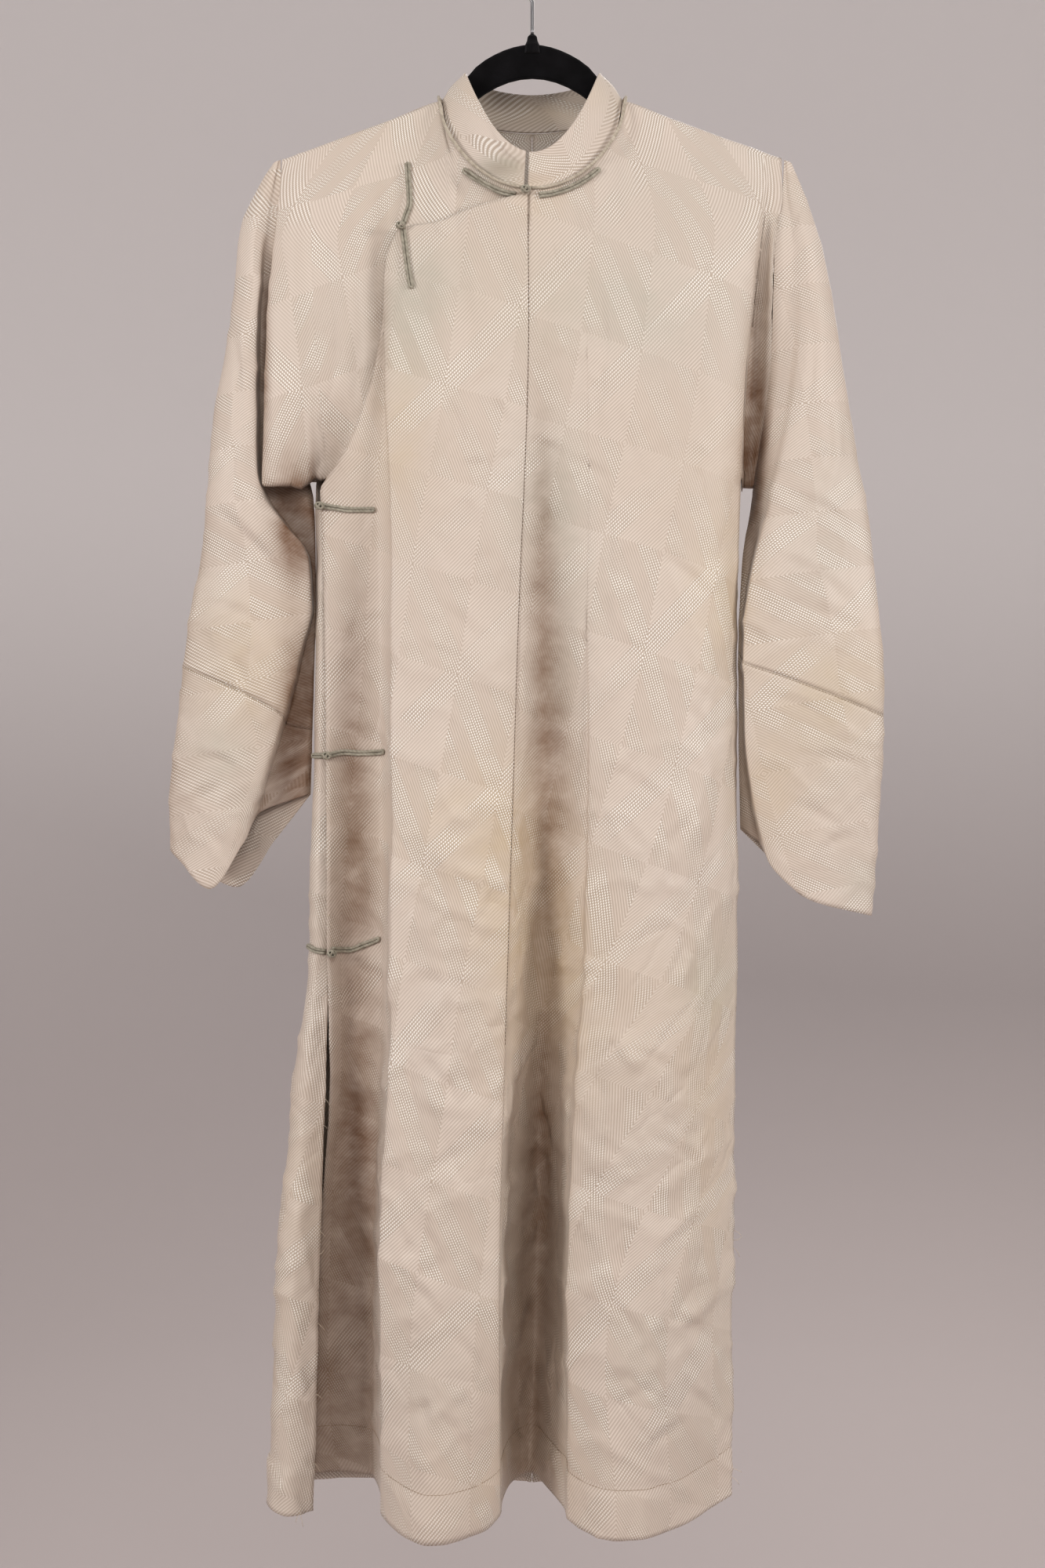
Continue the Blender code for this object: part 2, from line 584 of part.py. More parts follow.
def mesh_object(name: str, points: list, faces: list, material: bpy.types.Material) -> bpy.types.Object:
    """A named object from points in millimetres."""
    mesh = bpy.data.meshes.new(name)
    mesh.from_pydata([point * MM for point in points], [], faces)
    mesh.validate()
    mesh.shade_smooth()
    mesh.set_sharp_from_angle(angle=math.radians(SHARP_ANGLE))
    mesh.materials.append(material)
    shape = bpy.data.objects.new(name, mesh)
    bpy.context.scene.collection.objects.link(shape)
    return shape


def spaced(start: float, end: float, count: int) -> list:
    """Even values from start to end, both included."""
    return [blend(start, end, k / (count - 1)) for k in range(count)]


def body_surface(lines: list, turns: list, level_drops: list):
    """Surface over a body panel: column k lies on body line k, and turns come before line 0.

    turns are the drape's lines, listed away from the body, and only shape the rows above the armpit.
    """
    outward = list(reversed(turns))
    armpit = armpit_row(level_drops)

    def surface(column: float, row: float) -> Vector:
        drape = outward if row <= armpit else []
        chain = [*drape, *lines]
        points = [line.at(row_drops(line, level_drops, row)) for line in chain]
        return across(points, column + len(drape))

    return surface


# Materials

def cloth_material(name: str, colour: tuple, roughness: float) -> bpy.types.Material:
    """A plain Principled material of one colour."""
    material = bpy.data.materials.new(name)
    material.use_nodes = True
    shader = material.node_tree.nodes["Principled BSDF"]
    shader.inputs["Base Color"].default_value = (*colour, 1.0)
    shader.inputs["Roughness"].default_value = roughness
    shader.inputs["Metallic"].default_value = 1.0 if name == "steel_wire" else 0.0
    return material


def clear_scene() -> None:
    """Remove what the scene holds."""
    for thing in list(bpy.data.objects):
        bpy.data.objects.remove(thing)


# Body panels

def sleeve_valley(rows: tuple, tip_x: float, seam: tuple, cuff: tuple, back: bool) -> Line:
    """The line where a sleeve's cloth meets the body's drape, on the front or the back."""
    lines = sleeve_lines(rows, tip_x - math.copysign(TIP_STEP, tip_x), seam, cuff)
    valley = lines[-1] if back else lines[0]
    valley.foot = ARMPIT_DROP
    return valley


def make_front_left(silk: bpy.types.Material) -> None:
    """The wearer's left front from the centre seam to the side, with its drape beside the sleeve."""
    lines = [fold_line(fold, True) for fold in FRONT_FOLDS]
    centre = [fold.name for fold in FRONT_FOLDS].index("centre")
    turns = [turn_line(turn, True) for turn in FRONT_TURNS_LEFT]
    turns.append(sleeve_valley(SLEEVE_LEFT, LEFT_TIP, SEAM_LEFT, CUFF_LEFT, False))
    levels = list(BODY_ROW_DROPS)
    armpit = armpit_row(levels)
    body = lines[centre - 1:]

    def surface(column: float, row: float) -> Vector:
        chain = [*body, *turns] if row <= armpit else body
        return across([line.at(row_drops(line, levels, row)) for line in chain], column)

    last = len(body) - 1
    sheet = Sheet()
    sheet.patch(surface, [1 + SEAM_SHARE, *spaced(1.5, last, 2 * last - 2)],
                list(range(row_count(levels) + 1)), -1)
    end = last + len(turns)
    sheet.patch(surface, [*spaced(last, end - 0.5, 4), end - VALLEY_SHARE], list(range(armpit + 1)), -1)
    sheet.wall("front_left", CLOTH, silk)


def level_surface(lines: list):
    """Surface over fold lines, by position across them and drop."""
    return lambda position, drop: across([line.at(drop) for line in lines], position)


def overlap_surface():
    """The outer front's surface, by share of the way from its cut edge to the centre seam and by drop."""
    level_point = level_surface([fold_line(fold, True) for fold in FRONT_FOLDS])
    centre = [fold.name for fold in FRONT_FOLDS].index("centre")
    edge_drops = [drop for drop, x in LAP_EDGE]
    edge_xs = [x for drop, x in LAP_EDGE]

    def edge_position(drop: float) -> float:
        """Position across the folds of the cut edge at a drop."""
        if drop >= edge_drops[-1]:
            return 0.0
        return position_at(level_point, monotone(edge_drops, edge_xs, drop), drop, 0.0, float(centre))

    def surface(share: float, drop: float) -> Vector:
        point = level_point(blend(edge_position(drop), centre, share), drop)
        edge_fade = max(0.0, min(1.0, (LAP_LIFT_FOOT - drop) / LAP_LIFT_FADE))
        edge_lift = LAP_LIFT * max(0.0, 1 - share / LAP_LIFT_REACH) * edge_fade
        top_lift = LAP_TOP_LIFT * max(0.0, min(1.0, (BODY_ROW_DROPS[0] - drop) / LAP_TOP_FADE))
        point.y -= max(edge_lift, top_lift)
        return point

    return surface


def position_at(surface, x: float, drop: float, first: float, last: float) -> float:
    """Position between first and last where a surface reaches x at a drop, found by halving."""
    low, high = first, last
    for _ in range(HALVINGS):
        middle = (low + high) / 2
        if surface(middle, drop).x < x:
            low = middle
        else:
            high = middle
    return low


def make_overlap(silk: bpy.types.Material) -> None:
    """The outer front that laps over to the wearer's right, from its cut edge to the centre seam."""
    surface = overlap_surface()
    lines = [fold_line(fold, True) for fold in FRONT_FOLDS]
    centre = [fold.name for fold in FRONT_FOLDS].index("centre")
    levels = list(BODY_ROW_DROPS)
    top_rows = 3

    def drop_of(share: float, row: float) -> float:
        start = blend(LAP_CORNER_DROP, NECK_FRONT_DROP + 4, share)
        if row <= top_rows:
            return blend(start, levels[0], row / top_rows)
        index = row - top_rows
        whole = int(index)
        if whole < len(levels) - 1:
            return blend(levels[whole], levels[whole + 1], index - whole)
        foot = across([Vector((line.foot, 0, 0)) for line in lines], share * centre).x
        return blend(levels[-1], foot, min(1.0, (index - len(levels) + 1) / FOOT_ROWS))

    rows = list(range(top_rows + len(levels) + FOOT_ROWS))
    sheet = Sheet()
    sheet.patch(lambda column, row: surface(column / centre, drop_of(column / centre, row)),
                [*spaced(0, centre - 0.5, 2 * centre), centre - SEAM_SHARE], rows)
    sheet.wall("front_overlap", CLOTH, silk)


def under_lines() -> list:
    """The lines of the yoke and under front, which drop back behind the overlap below the collar."""
    lines = []
    for fold in UNDER_FOLDS:
        line = fold_line(fold, True)
        if abs(fold.top) < NECK_HALF_WIDTH - 0.5:
            line.tuck(YOKE_TUCK_DROP, YOKE_TUCK)
        lines.append(line)
    return lines


def make_under_front(silk: bpy.types.Material) -> None:
    """The yoke on the wearer's right with its drape beside the sleeve, running on as the under front."""
    lines = under_lines()
    turns = [turn_line(turn, True) for turn in FRONT_TURNS_RIGHT]
    turns.append(sleeve_valley(SLEEVE_RIGHT, RIGHT_TIP, SEAM_RIGHT, CUFF_RIGHT, False))
    levels = [drop for drop in BODY_ROW_DROPS if drop < 800]
    surface = body_surface(lines, turns, levels)
    sheet = Sheet()
    sheet.patch(surface, spaced(0, len(lines) - 1, 14), list(range(row_count(levels) + 1)), -1)
    start = -len(turns)
    sheet.patch(surface, [start + VALLEY_SHARE, *spaced(start + 0.5, 0, 8)],
                list(range(armpit_row(levels) + 1)), -1)
    sheet.wall("under_front_right", CLOTH, silk)


def make_back(silk: bpy.types.Material) -> None:
    """The two halves of the back, joined at the centre-back seam; the right half wraps to the front."""
    levels = list(BODY_ROW_DROPS)
    armpit = armpit_row(levels)
    lines = [fold_line(fold, False) for fold in BACK_FOLDS]
    centre = [fold.name for fold in BACK_FOLDS].index("centre")
    rows = list(range(row_count(levels) + 1))

    left_turns = [turn_line(turn, False) for turn in BACK_TURNS_LEFT]
    left_turns.append(sleeve_valley(SLEEVE_LEFT, LEFT_TIP, SEAM_LEFT, CUFF_LEFT, True))
    right_turns = [turn_line(turn, False) for turn in BACK_TURNS_RIGHT]
    right_turns.append(sleeve_valley(SLEEVE_RIGHT, RIGHT_TIP, SEAM_RIGHT, CUFF_RIGHT, True))
    strip = [fold_line(fold, True) for fold in STRIP_FOLDS]

    def left_surface(column: float, row: float) -> Vector:
        """Column 0 is the centre seam and columns fall towards the wearer's left side."""
        chain = [*lines[centre:], *left_turns] if row <= armpit else lines[centre:]
        return across([line.at(row_drops(line, levels, row)) for line in chain], -column)

    last = len(lines) - 1 - centre
    end = last + len(left_turns)
    sheet = Sheet()
    sheet.patch(left_surface, [*spaced(-last, -0.5, 2 * last), -SEAM_SHARE / 2], rows, 1)
    sheet.patch(left_surface, [-end + VALLEY_SHARE, *spaced(-end + 0.5, -last, 5)], list(range(armpit + 1)), 1)
    sheet.wall("back_left", CLOTH, silk)

    strip_row = rows[armpit + 1]

    def right_surface(column: float, row: float) -> Vector:
        """Column 0 is the centre seam and columns rise towards the wearer's right side."""
        body = list(reversed(lines[:centre + 1]))
        if row <= armpit:
            chain = [*body, *right_turns]
        elif row >= strip_row:
            chain = [*body, *reversed(strip)]
        else:
            chain = body
        return across([line.at(row_drops(line, levels, row)) for line in chain], column)

    sheet = Sheet()
    sheet.patch(right_surface, [SEAM_SHARE / 2, *spaced(0.5, centre, 2 * centre)], rows, 1)
    end = centre + len(right_turns)
    sheet.patch(right_surface, [*spaced(centre, end - 0.5, 5), end - VALLEY_SHARE], list(range(armpit + 1)), 1)
    sheet.patch(right_surface, spaced(centre, centre + len(strip), 5), rows[armpit + 1:])
    sheet.wall("back_right", CLOTH, silk)


# Sleeves

def make_sleeve(side: str, rows: tuple, tip_x: float, seam: tuple, cuff: tuple,
                silk: bpy.types.Material) -> None:
    """The upper sleeve, open along the underarm above the armpit, and the sleeve end below its seam."""
    lines = sleeve_lines(rows, tip_x, seam, cuff)
    mirrored = tip_x < 0
    if mirrored:
        lines = list(reversed(lines))
    last = len(lines) - 1
    levels = list(SLEEVE_ROW_DROPS)
    columns = [VALLEY_SHARE, 0.5, *spaced(1, last - 1, 15), last - 0.5, last - VALLEY_SHARE]

    def upper(column: float, row: float) -> Vector:
        points = [line.at(row_drops(line, levels, row)) for line in lines]
        return across(points, column)

    def lower(column: float, row: float) -> Vector:
        points = [line.at(blend(line.foot + SEAM_GAP, line.cuff, row)) for line in lines]
        return across(points, column)

    sheet = Sheet()
    sheet.patch(upper, columns, list(range(row_count(levels) + 1)))
    sheet.wall(f"sleeve_upper_{side}", CLOTH, silk)
    sheet = Sheet()
    sheet.patch(lower, columns, spaced(0, 1, 7))
    sheet.wall(f"sleeve_end_{side}", CLOTH, silk)


# Collar, piping and frogs

def neckline() -> list:
    """The robe's neckline, from its front centre round the wearer's left side and back again."""
    front = [fold_line(fold, True) for fold in FRONT_FOLDS if abs(fold.top) <= NECK_HALF_WIDTH]
    back = [fold_line(fold, False) for fold in BACK_FOLDS if abs(fold.top) <= NECK_HALF_WIDTH]
    centre = [line.xs[0] for line in front].index(-4)
    front_tops = [line.at(line.top) for line in front]
    back_tops = [line.at(line.top) for line in reversed(back)]
    start = centre + SEAM_SHARE
    last = len(front) - 1
    route = [across(front_tops, start)]
    route += [across(front_tops, centre + k / 2) for k in range(1, 2 * (last - centre) + 1)]
    route += [across(back_tops, k / 2) for k in range(1, 2 * (len(back) - 1))]
    route += [across(front_tops, k / 2) for k in range(0, 2 * centre)]
    route.append(across(front_tops, centre - 0.2))
    return route


def neck_angle(point: Vector) -> float:
    """Angle of a neckline point round the neck: 0 at the front, rising to the wearer's left."""
    return math.atan2(point.x / NECK_HALF_WIDTH, -point.y / NECK_HALF_DEPTH)


def collar_point(foot: Vector, share: float) -> Vector:
    """A point of the collar's outer face above a neckline point: share 0 is the foot and 1 the top."""
    angle = neck_angle(foot)
    front = math.cos(angle) > 0
    deepest = COLLAR_TOP_FRONT_DROP if front else COLLAR_TOP_BACK_DROP
    top_drop = blend(COLLAR_TOP_SIDE_DROP, deepest, abs(math.cos(angle)) ** COLLAR_ROUNDNESS)
    top = Vector((COLLAR_TOP_HALF_WIDTH * math.sin(angle), foot.y * COLLAR_LEAN, -top_drop))
    outward = Vector((math.sin(angle), -math.cos(angle), 0))
    rise = (top - foot).normalized() * COLLAR_RISE
    start = foot + rise - outward * COLLAR_INSET
    return start.lerp(top, share) + outward * COLLAR_BULGE * math.sin(math.pi * share) ** 2


def make_collar(silk: bpy.types.Material) -> None:
    """The standing collar band, open at the front."""
    feet = neckline()
    ordered = list(reversed(feet))

    def surface(column: float, share: float) -> Vector:
        whole = min(int(column), len(ordered) - 2)
        foot = ordered[whole].lerp(ordered[whole + 1], column - whole)
        return collar_point(foot, 1 - share)

    sheet = Sheet()
    columns = list(range(len(ordered)))
    sheet.patch(lambda column, share: surface(len(ordered) - 1 - column, share), columns, spaced(0, 1, 4))
    sheet.wall("collar", COLLAR_CLOTH, silk)


def cord(name: str, route: list, radius: float, material: bpy.types.Material) -> bpy.types.Object:
    """A round cord through points in millimetres."""
    curve = bpy.data.curves.new(name, "CURVE")
    curve.dimensions = "3D"
    curve.bevel_depth = radius * MM
    curve.bevel_resolution = 2 if radius == WIRE_RADIUS else 1
    curve.use_fill_caps = True
    spline = curve.splines.new("POLY")
    spline.points.add(len(route) - 1)
    for point, place in zip(spline.points, route):
        point.co = (*(place * MM), 1.0)
    curve.materials.append(material)
    shape = bpy.data.objects.new(name, curve)
    bpy.context.scene.collection.objects.link(shape)
    return shape


def rounded(route: list, spacing: float) -> list:
    """Points about a spacing apart on a smooth curve through a route's points."""
    lengths = [0.0]
    for a, b in zip(route, route[1:]):
        lengths.append(lengths[-1] + (b - a).length)
    steps = max(3, round(lengths[-1] / spacing))
    places = [lengths[-1] * k / steps for k in range(steps + 1)]
    return [Vector([monotone(lengths, [point[axis] for point in route], place) for axis in range(2)])
            for place in places]


def make_piping(cord_cloth: bpy.types.Material) -> None:
    """The corded piping that lies in the corner between the collar and the body."""
    reach = PIPING_RADIUS + PIPING_GAP
    route = []
    for foot in neckline()[1:-1]:
        angle = neck_angle(foot)
        side = math.sin(angle) ** 2
        outward = Vector((math.sin(angle), -math.cos(angle), 0))
        facing = max(-1.0, min(1.0, 8 * math.cos(angle)))
        route.append(foot + outward * reach + Vector((0, -facing, 1)) * reach * side * PIPING_RISE)
    cord("collar_piping", route, PIPING_RADIUS, cord_cloth)


def panel_point(panel: tuple, x: float, drop: float, lift: float) -> Vector:
    """The point at x and drop on a panel (surface, first and last position), moved out by lift."""
    surface, first, last = panel
    place = position_at(surface, x, drop, first, last)
    step = (last - first) * 0.01
    along = surface(place + step, drop) - surface(place - step, drop)
    fall = surface(place, drop + 4) - surface(place, drop - 4)
    return surface(place, drop) + fall.cross(along).normalized() * lift


def hairpin(route: list, half_width: float) -> list:
    """A cord laid out along a route of (x, drop) and back, side by side."""
    ahead = [route[min(k + 1, len(route) - 1)] - route[max(k - 1, 0)] for k in range(len(route))]
    sides = [Vector((-way.y, way.x)).normalized() * half_width for way in ahead]
    out = [point + side for point, side in zip(route, sides)]
    back = [point - side for point, side in zip(route, sides)]
    end, side, onward = route[-1], sides[-1] * 0.7, ahead[-1].normalized() * half_width
    return [*out, end + side + onward * 0.7, end + onward, end - side + onward * 0.7, *reversed(back)]


def knot(name: str, centre: Vector, material: bpy.types.Material) -> None:
    """A ball knot of cord."""
    bpy.ops.mesh.primitive_uv_sphere_add(segments=12, ring_count=8, radius=KNOT_RADIUS * MM,
                                         location=centre * MM)
    ball = bpy.context.object
    ball.name = name
    ball.data.name = name
    ball.data.materials.append(material)
    ball.data.shade_smooth()


def collar_leg(side: int, start: float) -> tuple:
    """Route (x, drop) of a collar frog's leg, at an even distance below the neckline."""
    route = []
    for x in spaced(start, COLLAR_LEG_END, 5):
        ahead = Vector((2, neck_drop(x + 1, True) - neck_drop(x - 1, True)))
        away = Vector((-ahead.y, ahead.x)).normalized() * COLLAR_LEG_OFFSET
        route.append((side * (x + away.x), neck_drop(x, True) + away.y))
    return tuple(route)


def make_frogs(cord_cloth: bpy.types.Material) -> None:
    """The five frog closures: double cords sewn flat on the panels, and their knots."""
    back = [fold_line(fold, False) for fold in BACK_FOLDS]
    centre = [fold.name for fold in BACK_FOLDS].index("centre")
    round_side = [*reversed(back[:centre + 1]), *(fold_line(fold, True) for fold in reversed(STRIP_FOLDS))]
    panels = {
        "front": (level_surface([fold_line(fold, True) for fold in FRONT_FOLDS]), 0, len(FRONT_FOLDS) - 1),
        "overlap": (overlap_surface(), 0, 1),
        "yoke": (level_surface(under_lines()), 0, len(UNDER_FOLDS) - 1),
        "strip": (level_surface(round_side), centre, len(round_side) - 1),
    }
    collar_right = Leg("collar_right", "yoke", collar_leg(-1, COLLAR_LEG_START_RIGHT))
    collar_left = Leg("collar_left", "front", collar_leg(1, COLLAR_LEG_START_LEFT))
    for leg in (*FROG_LEGS, collar_right, collar_left):
        centre_run = rounded([Vector(place) for place in leg.route], CORD_STEP)
        route = hairpin(centre_run, CORD_RADIUS + CORD_GAP / 2)
        lift = CORD_RADIUS + leg.lift
        cord(f"frog_{leg.name}", [panel_point(panels[leg.panel], place.x, place.y, lift) for place in route],
             CORD_RADIUS, cord_cloth)
    for ball in KNOTS:
        place = panel_point(panels[ball.panel], ball.x, ball.drop, KNOT_RADIUS + ball.lift)
        knot(f"frog_{ball.name}_knot", place, cord_cloth)


# Hanger

def hanger_outline() -> list:
    """Outline of the hanger body as (x, drop), round by the arch, an arm, its tip and the underside."""
    under_cloth = CLOTH + SEAM_GAP + HANGER_UNDER_CLOTH
    collar_slope = (NECK_SIDE_DROP - COLLAR_TOP_SIDE_DROP) / (NECK_HALF_WIDTH - COLLAR_TOP_HALF_WIDTH)
    arch = []
    for x in range(-72, 73, 8):
        below_collar = COLLAR_TOP_SIDE_DROP + (abs(x) - COLLAR_TOP_HALF_WIDTH) * collar_slope + UNDER_COLLAR
        below_collar += max(0, abs(x) - 64)
        arch_drop = HANGER_TOP_DROP + (abs(x) / ARCH_TOP_REACH) ** ARCH_TOP_ROUNDNESS * ARCH_TOP_FALL
        arch.append((x, max(arch_drop, below_collar)))
    arm = [(x, max(shoulder_drop(x) + under_cloth, NECK_DIP_DROP)) for x in (78, 86, *range(98, 200, 26))]
    end_x = HANGER_HALF_SPAN
    end_drop = shoulder_drop(end_x)
    tip = [(end_x + 2.5, end_drop + 7), (end_x + 1.5, end_drop + 13), (end_x - 5, end_drop + 17)]
    low_arm = [(x, shoulder_drop(x) + HANGER_ARM_DEPTH - (x - 64) * ARM_TAPER) for x in range(194, 63, -26)]
    low_arch = [(x, ARCH_LOW_DROP + (x / ARCH_LOW_REACH) ** 2 * ARCH_LOW_FALL) for x in range(50, -51, -10)]
    right = [*arm, *tip, *low_arm]
    left = [(-x, drop) for x, drop in reversed(right)]
    return [*arch, *right, *low_arch, *left]


def make_hanger_body(flock: bpy.types.Material) -> None:
    """The flocked hanger body with its boss."""
    half = HANGER_THICKNESS / 2
    outline = hanger_outline()
    points = [Vector((x, side * half, -drop)) for side in (-1, 1) for x, drop in outline]
    count = len(outline)
    faces = [tuple(range(count - 1, -1, -1)), tuple(range(count, 2 * count))]
    for k in range(count):
        follow = (k + 1) % count
        faces.append((k, follow, follow + count, k + count))
    body = mesh_object("hanger_body", points, faces, flock)
    bevel = body.modifiers.new("soft_edge", "BEVEL")
    bevel.width = HANGER_EDGE * MM
    bevel.segments = 2
    bevel.limit_method = "ANGLE"
    bevel.angle_limit = math.radians(60)
    union = body.modifiers.new("boss", "BOOLEAN")
    union.operation = "UNION"
    union.object = make_boss(flock)


def make_boss(flock: bpy.types.Material) -> bpy.types.Object:
    """The boss that holds the hook, as a turned shape to join to the hanger body."""
    sides = BOSS_SIDES
    turns = [(math.cos(math.tau * k / sides), math.sin(math.tau * k / sides)) for k in range(sides)]
    points = [Vector((radius * east, radius * south, -drop))
              for radius, drop in BOSS_PROFILE for east, south in turns]
    foot = len(points) - sides
    faces = [tuple(range(sides)), tuple(range(foot + sides - 1, foot - 1, -1))]
    for base in range(0, foot, sides):
        for k in range(sides):
            follow = (k + 1) % sides
            faces.append((base + k, base + sides + k, base + sides + follow, base + follow))
    boss = mesh_object("boss_cutter", points, faces, flock)
    boss.hide_render = True
    boss.display_type = "WIRE"
    return boss


def make_hook(steel: bpy.types.Material) -> None:
    """The steel wire hook, from its open end round to the stem in the boss."""
    centre = HOOK_INNER_RADIUS
    bend = HOOK_INNER_RADIUS + WIRE_RADIUS
    angles = spaced(math.radians(HOOK_TIP_ANGLE), math.radians(180), 15)
    arc = [Vector((bend * math.cos(angle), 0, -centre + bend * math.sin(angle))) for angle in angles]
    turns = [k * math.pi / 10 for k in range(1, 5)]
    sweep = [Vector((-bend * math.cos(turn), 0, -centre - HOOK_SWEEP * math.sin(turn))) for turn in turns]
    stem = [Vector((0, 0, -drop)) for drop in (*HOOK_STEM_DROPS, BOSS_TOP_DROP - SEAM_GAP)]
    cord("hanger_hook", [*arc, *sweep, *stem], WIRE_RADIUS, steel)


def main() -> None:
    """Build every piece."""
    clear_scene()
    silk = cloth_material("silk_damask", (0.69, 0.60, 0.50), 0.45)
    cord_cloth = cloth_material("cord_cloth", (0.39, 0.38, 0.30), 0.7)
    flock = cloth_material("flock", (0.004, 0.004, 0.005), 0.95)
    steel = cloth_material("steel_wire", (0.55, 0.55, 0.56), 0.3)
    make_front_left(silk)
    make_overlap(silk)
    make_under_front(silk)
    make_back(silk)
    make_sleeve("left", SLEEVE_LEFT, LEFT_TIP, SEAM_LEFT, CUFF_LEFT, silk)
    make_sleeve("right", SLEEVE_RIGHT, RIGHT_TIP, SEAM_RIGHT, CUFF_RIGHT, silk)
    make_collar(silk)
    make_piping(cord_cloth)
    make_frogs(cord_cloth)
    make_hanger_body(flock)
    make_hook(steel)


main()
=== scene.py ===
"""The looks of a cream silk damask robe that hangs closed on a flocked clothes hanger.

Metres, +Z up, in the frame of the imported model. The cloth's shapes are worked out in millimetres:
"drop" is the distance below the hook's inside top, x runs to the viewer's right, and depth runs back
from the hanger's middle plane, so the front of the robe has a negative depth.
"""

import logging
import math
from dataclasses import dataclass
from enum import Enum
from itertools import product
from typing import Callable, ClassVar, NamedTuple, Sequence

import bmesh
import bpy
import numpy as np
from bpy.types import ID, Material, Mesh, Node, NodeSocket, NodeTree, Object
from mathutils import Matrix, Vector
from mathutils.bvhtree import BVHTree

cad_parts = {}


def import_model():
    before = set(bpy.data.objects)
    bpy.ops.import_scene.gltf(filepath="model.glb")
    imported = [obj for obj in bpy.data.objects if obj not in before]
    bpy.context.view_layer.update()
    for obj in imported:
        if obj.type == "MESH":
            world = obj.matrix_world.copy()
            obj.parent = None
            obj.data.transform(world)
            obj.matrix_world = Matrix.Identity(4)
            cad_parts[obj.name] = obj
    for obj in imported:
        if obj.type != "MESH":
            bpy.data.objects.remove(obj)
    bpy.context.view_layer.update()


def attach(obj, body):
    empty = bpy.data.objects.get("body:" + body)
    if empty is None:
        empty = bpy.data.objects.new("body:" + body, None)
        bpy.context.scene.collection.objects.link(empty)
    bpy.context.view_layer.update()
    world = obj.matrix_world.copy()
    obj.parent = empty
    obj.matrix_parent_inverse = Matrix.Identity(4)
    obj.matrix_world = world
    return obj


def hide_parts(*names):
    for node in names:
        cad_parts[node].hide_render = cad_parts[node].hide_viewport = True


LOG = logging.getLogger("robe")
MM = 0.001
BODY = "root"

# The cut and the hang, in millimetres, as in the solids

SEAM_GAP = 0.3
NECK_HALF_WIDTH = 78.0
NECK_HALF_DEPTH = 40.0
NECK_SIDE_DROP = 134.0
NECK_FRONT_DROP = 219.0
NECK_BACK_DROP = 151.0
NECK_CURVE = 1.14            # how squarely the neckline turns up at its sides
SHOULDER_SLOPE = 0.37
LIP_RADIUS = 4.3
LIP_SHARE = 0.7              # how much of that depth the cloth reaches at its first step down
TIP_RADIUS = 6.0
TIP_STEP = 3.0
WIDEST_DROP = 1200.0         # where the robe is widest, near its hem
ARMPIT_DROP = 455.0
UNDER_FRONT_HEM = 882.0
UNDER_LAST_LEVEL = 720       # the last level row of the under front
SECTION_DROPS = (320.0, 600.0, 860.0, 955.0, 1131.0, 1332.0)
BODY_LEVELS = (262, 300, 345, 390, 425, ARMPIT_DROP, 480, 520, 580, 645, 720, 800, 860,
               930, 1000, 1070, 1140, 1205, 1268)
SLEEVE_LEVELS = (262, 300, 345, 390, 425, ARMPIT_DROP, 480, 505, 535, 570)
HEAD_STEPS = (0.0, 1.3, 4.3)
HEAD_ROWS = 3
HEAD_SPREAD = 1.2            # the head's rows lie closer together at the top
FOOT_ROWS = 2
SLEEVE_SPREAD_TOP = 8.0      # between a sleeve's front and back valleys at its top,
SLEEVE_SPREAD_FADE = 60.0    # closing over this height above the armpit
CLOTH_WALL = 1.2

# How fine the shown cloth is

COLUMN_STEP = 3.8
ROW_STEP = 4.3
SLEEVE_ROWS = 118
SLEEVE_END_ROWS = 44
SLEEVE_STEP = 3.4
DRAPE_STEP = 3.0
SEARCHED = 300               # places tried to find a point across a surface
FINEST_CREASE = 3.2          # the narrowest half width that the mesh can hold, millimetres
SEAM_DIP = 0.9               # how far the centre seams draw the cloth in, millimetres,
SEAM_DIP_WIDTH = 2.4         # and over what half width
SHOWN_GAP = 0.06             # between two pieces at a seam, millimetres
CLOTH_SHOWN = 0.6            # thickness of the silk as shown, millimetres
HEM_DEPTH = 41.0             # the turned hem's height,
HEM_STEP = 0.6               # how far it stands out,
HEM_DIP = 0.9                # and how far its stitches draw it in
CUFF_DEPTH = 12.0            # the same of the cuff's turned edge
CUFF_STEP = 0.3
PRESSED_X = 0.05             # where the helper of a pressed edge lies on the way to the edge's neighbour,
PRESSED_DEPTH = 0.34         # how far it has fallen back towards it there,
PRESSED_ENDS = 0.2           # and where it starts and ends

# The form of a crease, as shares of its length and of its half width

CREASE_BOW = 0.06            # how far it bows aside
CREASE_END = 1.15            # how soon it fades towards its ends
CREASE_FADE = 0.7            # below 1 it stays deep for longer
RIDGE_PLACE = 2.1            # the soft ridge beside its trough
RIDGE_WIDTH = 1.4
RIDGE_HEIGHT = 0.55

# How dirt, painted shade and relief spread over the cloth

MOTTLE = 0.3                 # the strength of the uneven ageing all over
HOLLOW_SHADE = 0.62           # the painted brown shade of cloth deep inside a fold
HOLLOW_DROP = 240.0          # from here down,
HOLLOW_DEPTH = -6.0          # and from here back
BACK_TONE = 0.4              # how much of the brown patches, soiling and painted shade, the back pieces also carry
PRESSED_SIDE = -186.0        # the overlap lies flat at its cut edge,
PRESSED_WIDTH = 40.0         # up to so far from it
NECK_CALM = 90.0             # the cloth lies smooth for so far below the neck
SEAM_CALM = 8.0              # and so far from a centre seam


class Face(Enum):
    """Which face of the robe a line of cloth lies on."""
    FRONT = -1
    BACK = 1


class Grain(Enum):
    """How the damask lies on a piece: with its warp down the piece, or turned a quarter."""
    DOWN = "down"
    ACROSS = "across"


class Mark(Enum):
    """A kind of ageing that the cloth carries, by its place in the attribute of ageing and painted shade; the
    brown kind is soiling with painted shade in hollows.
    """
    GREEN = 0
    YELLOW = 1
    # soiling, with painted shade in fold troughs, gaps and underarm hollows
    BROWN = 2


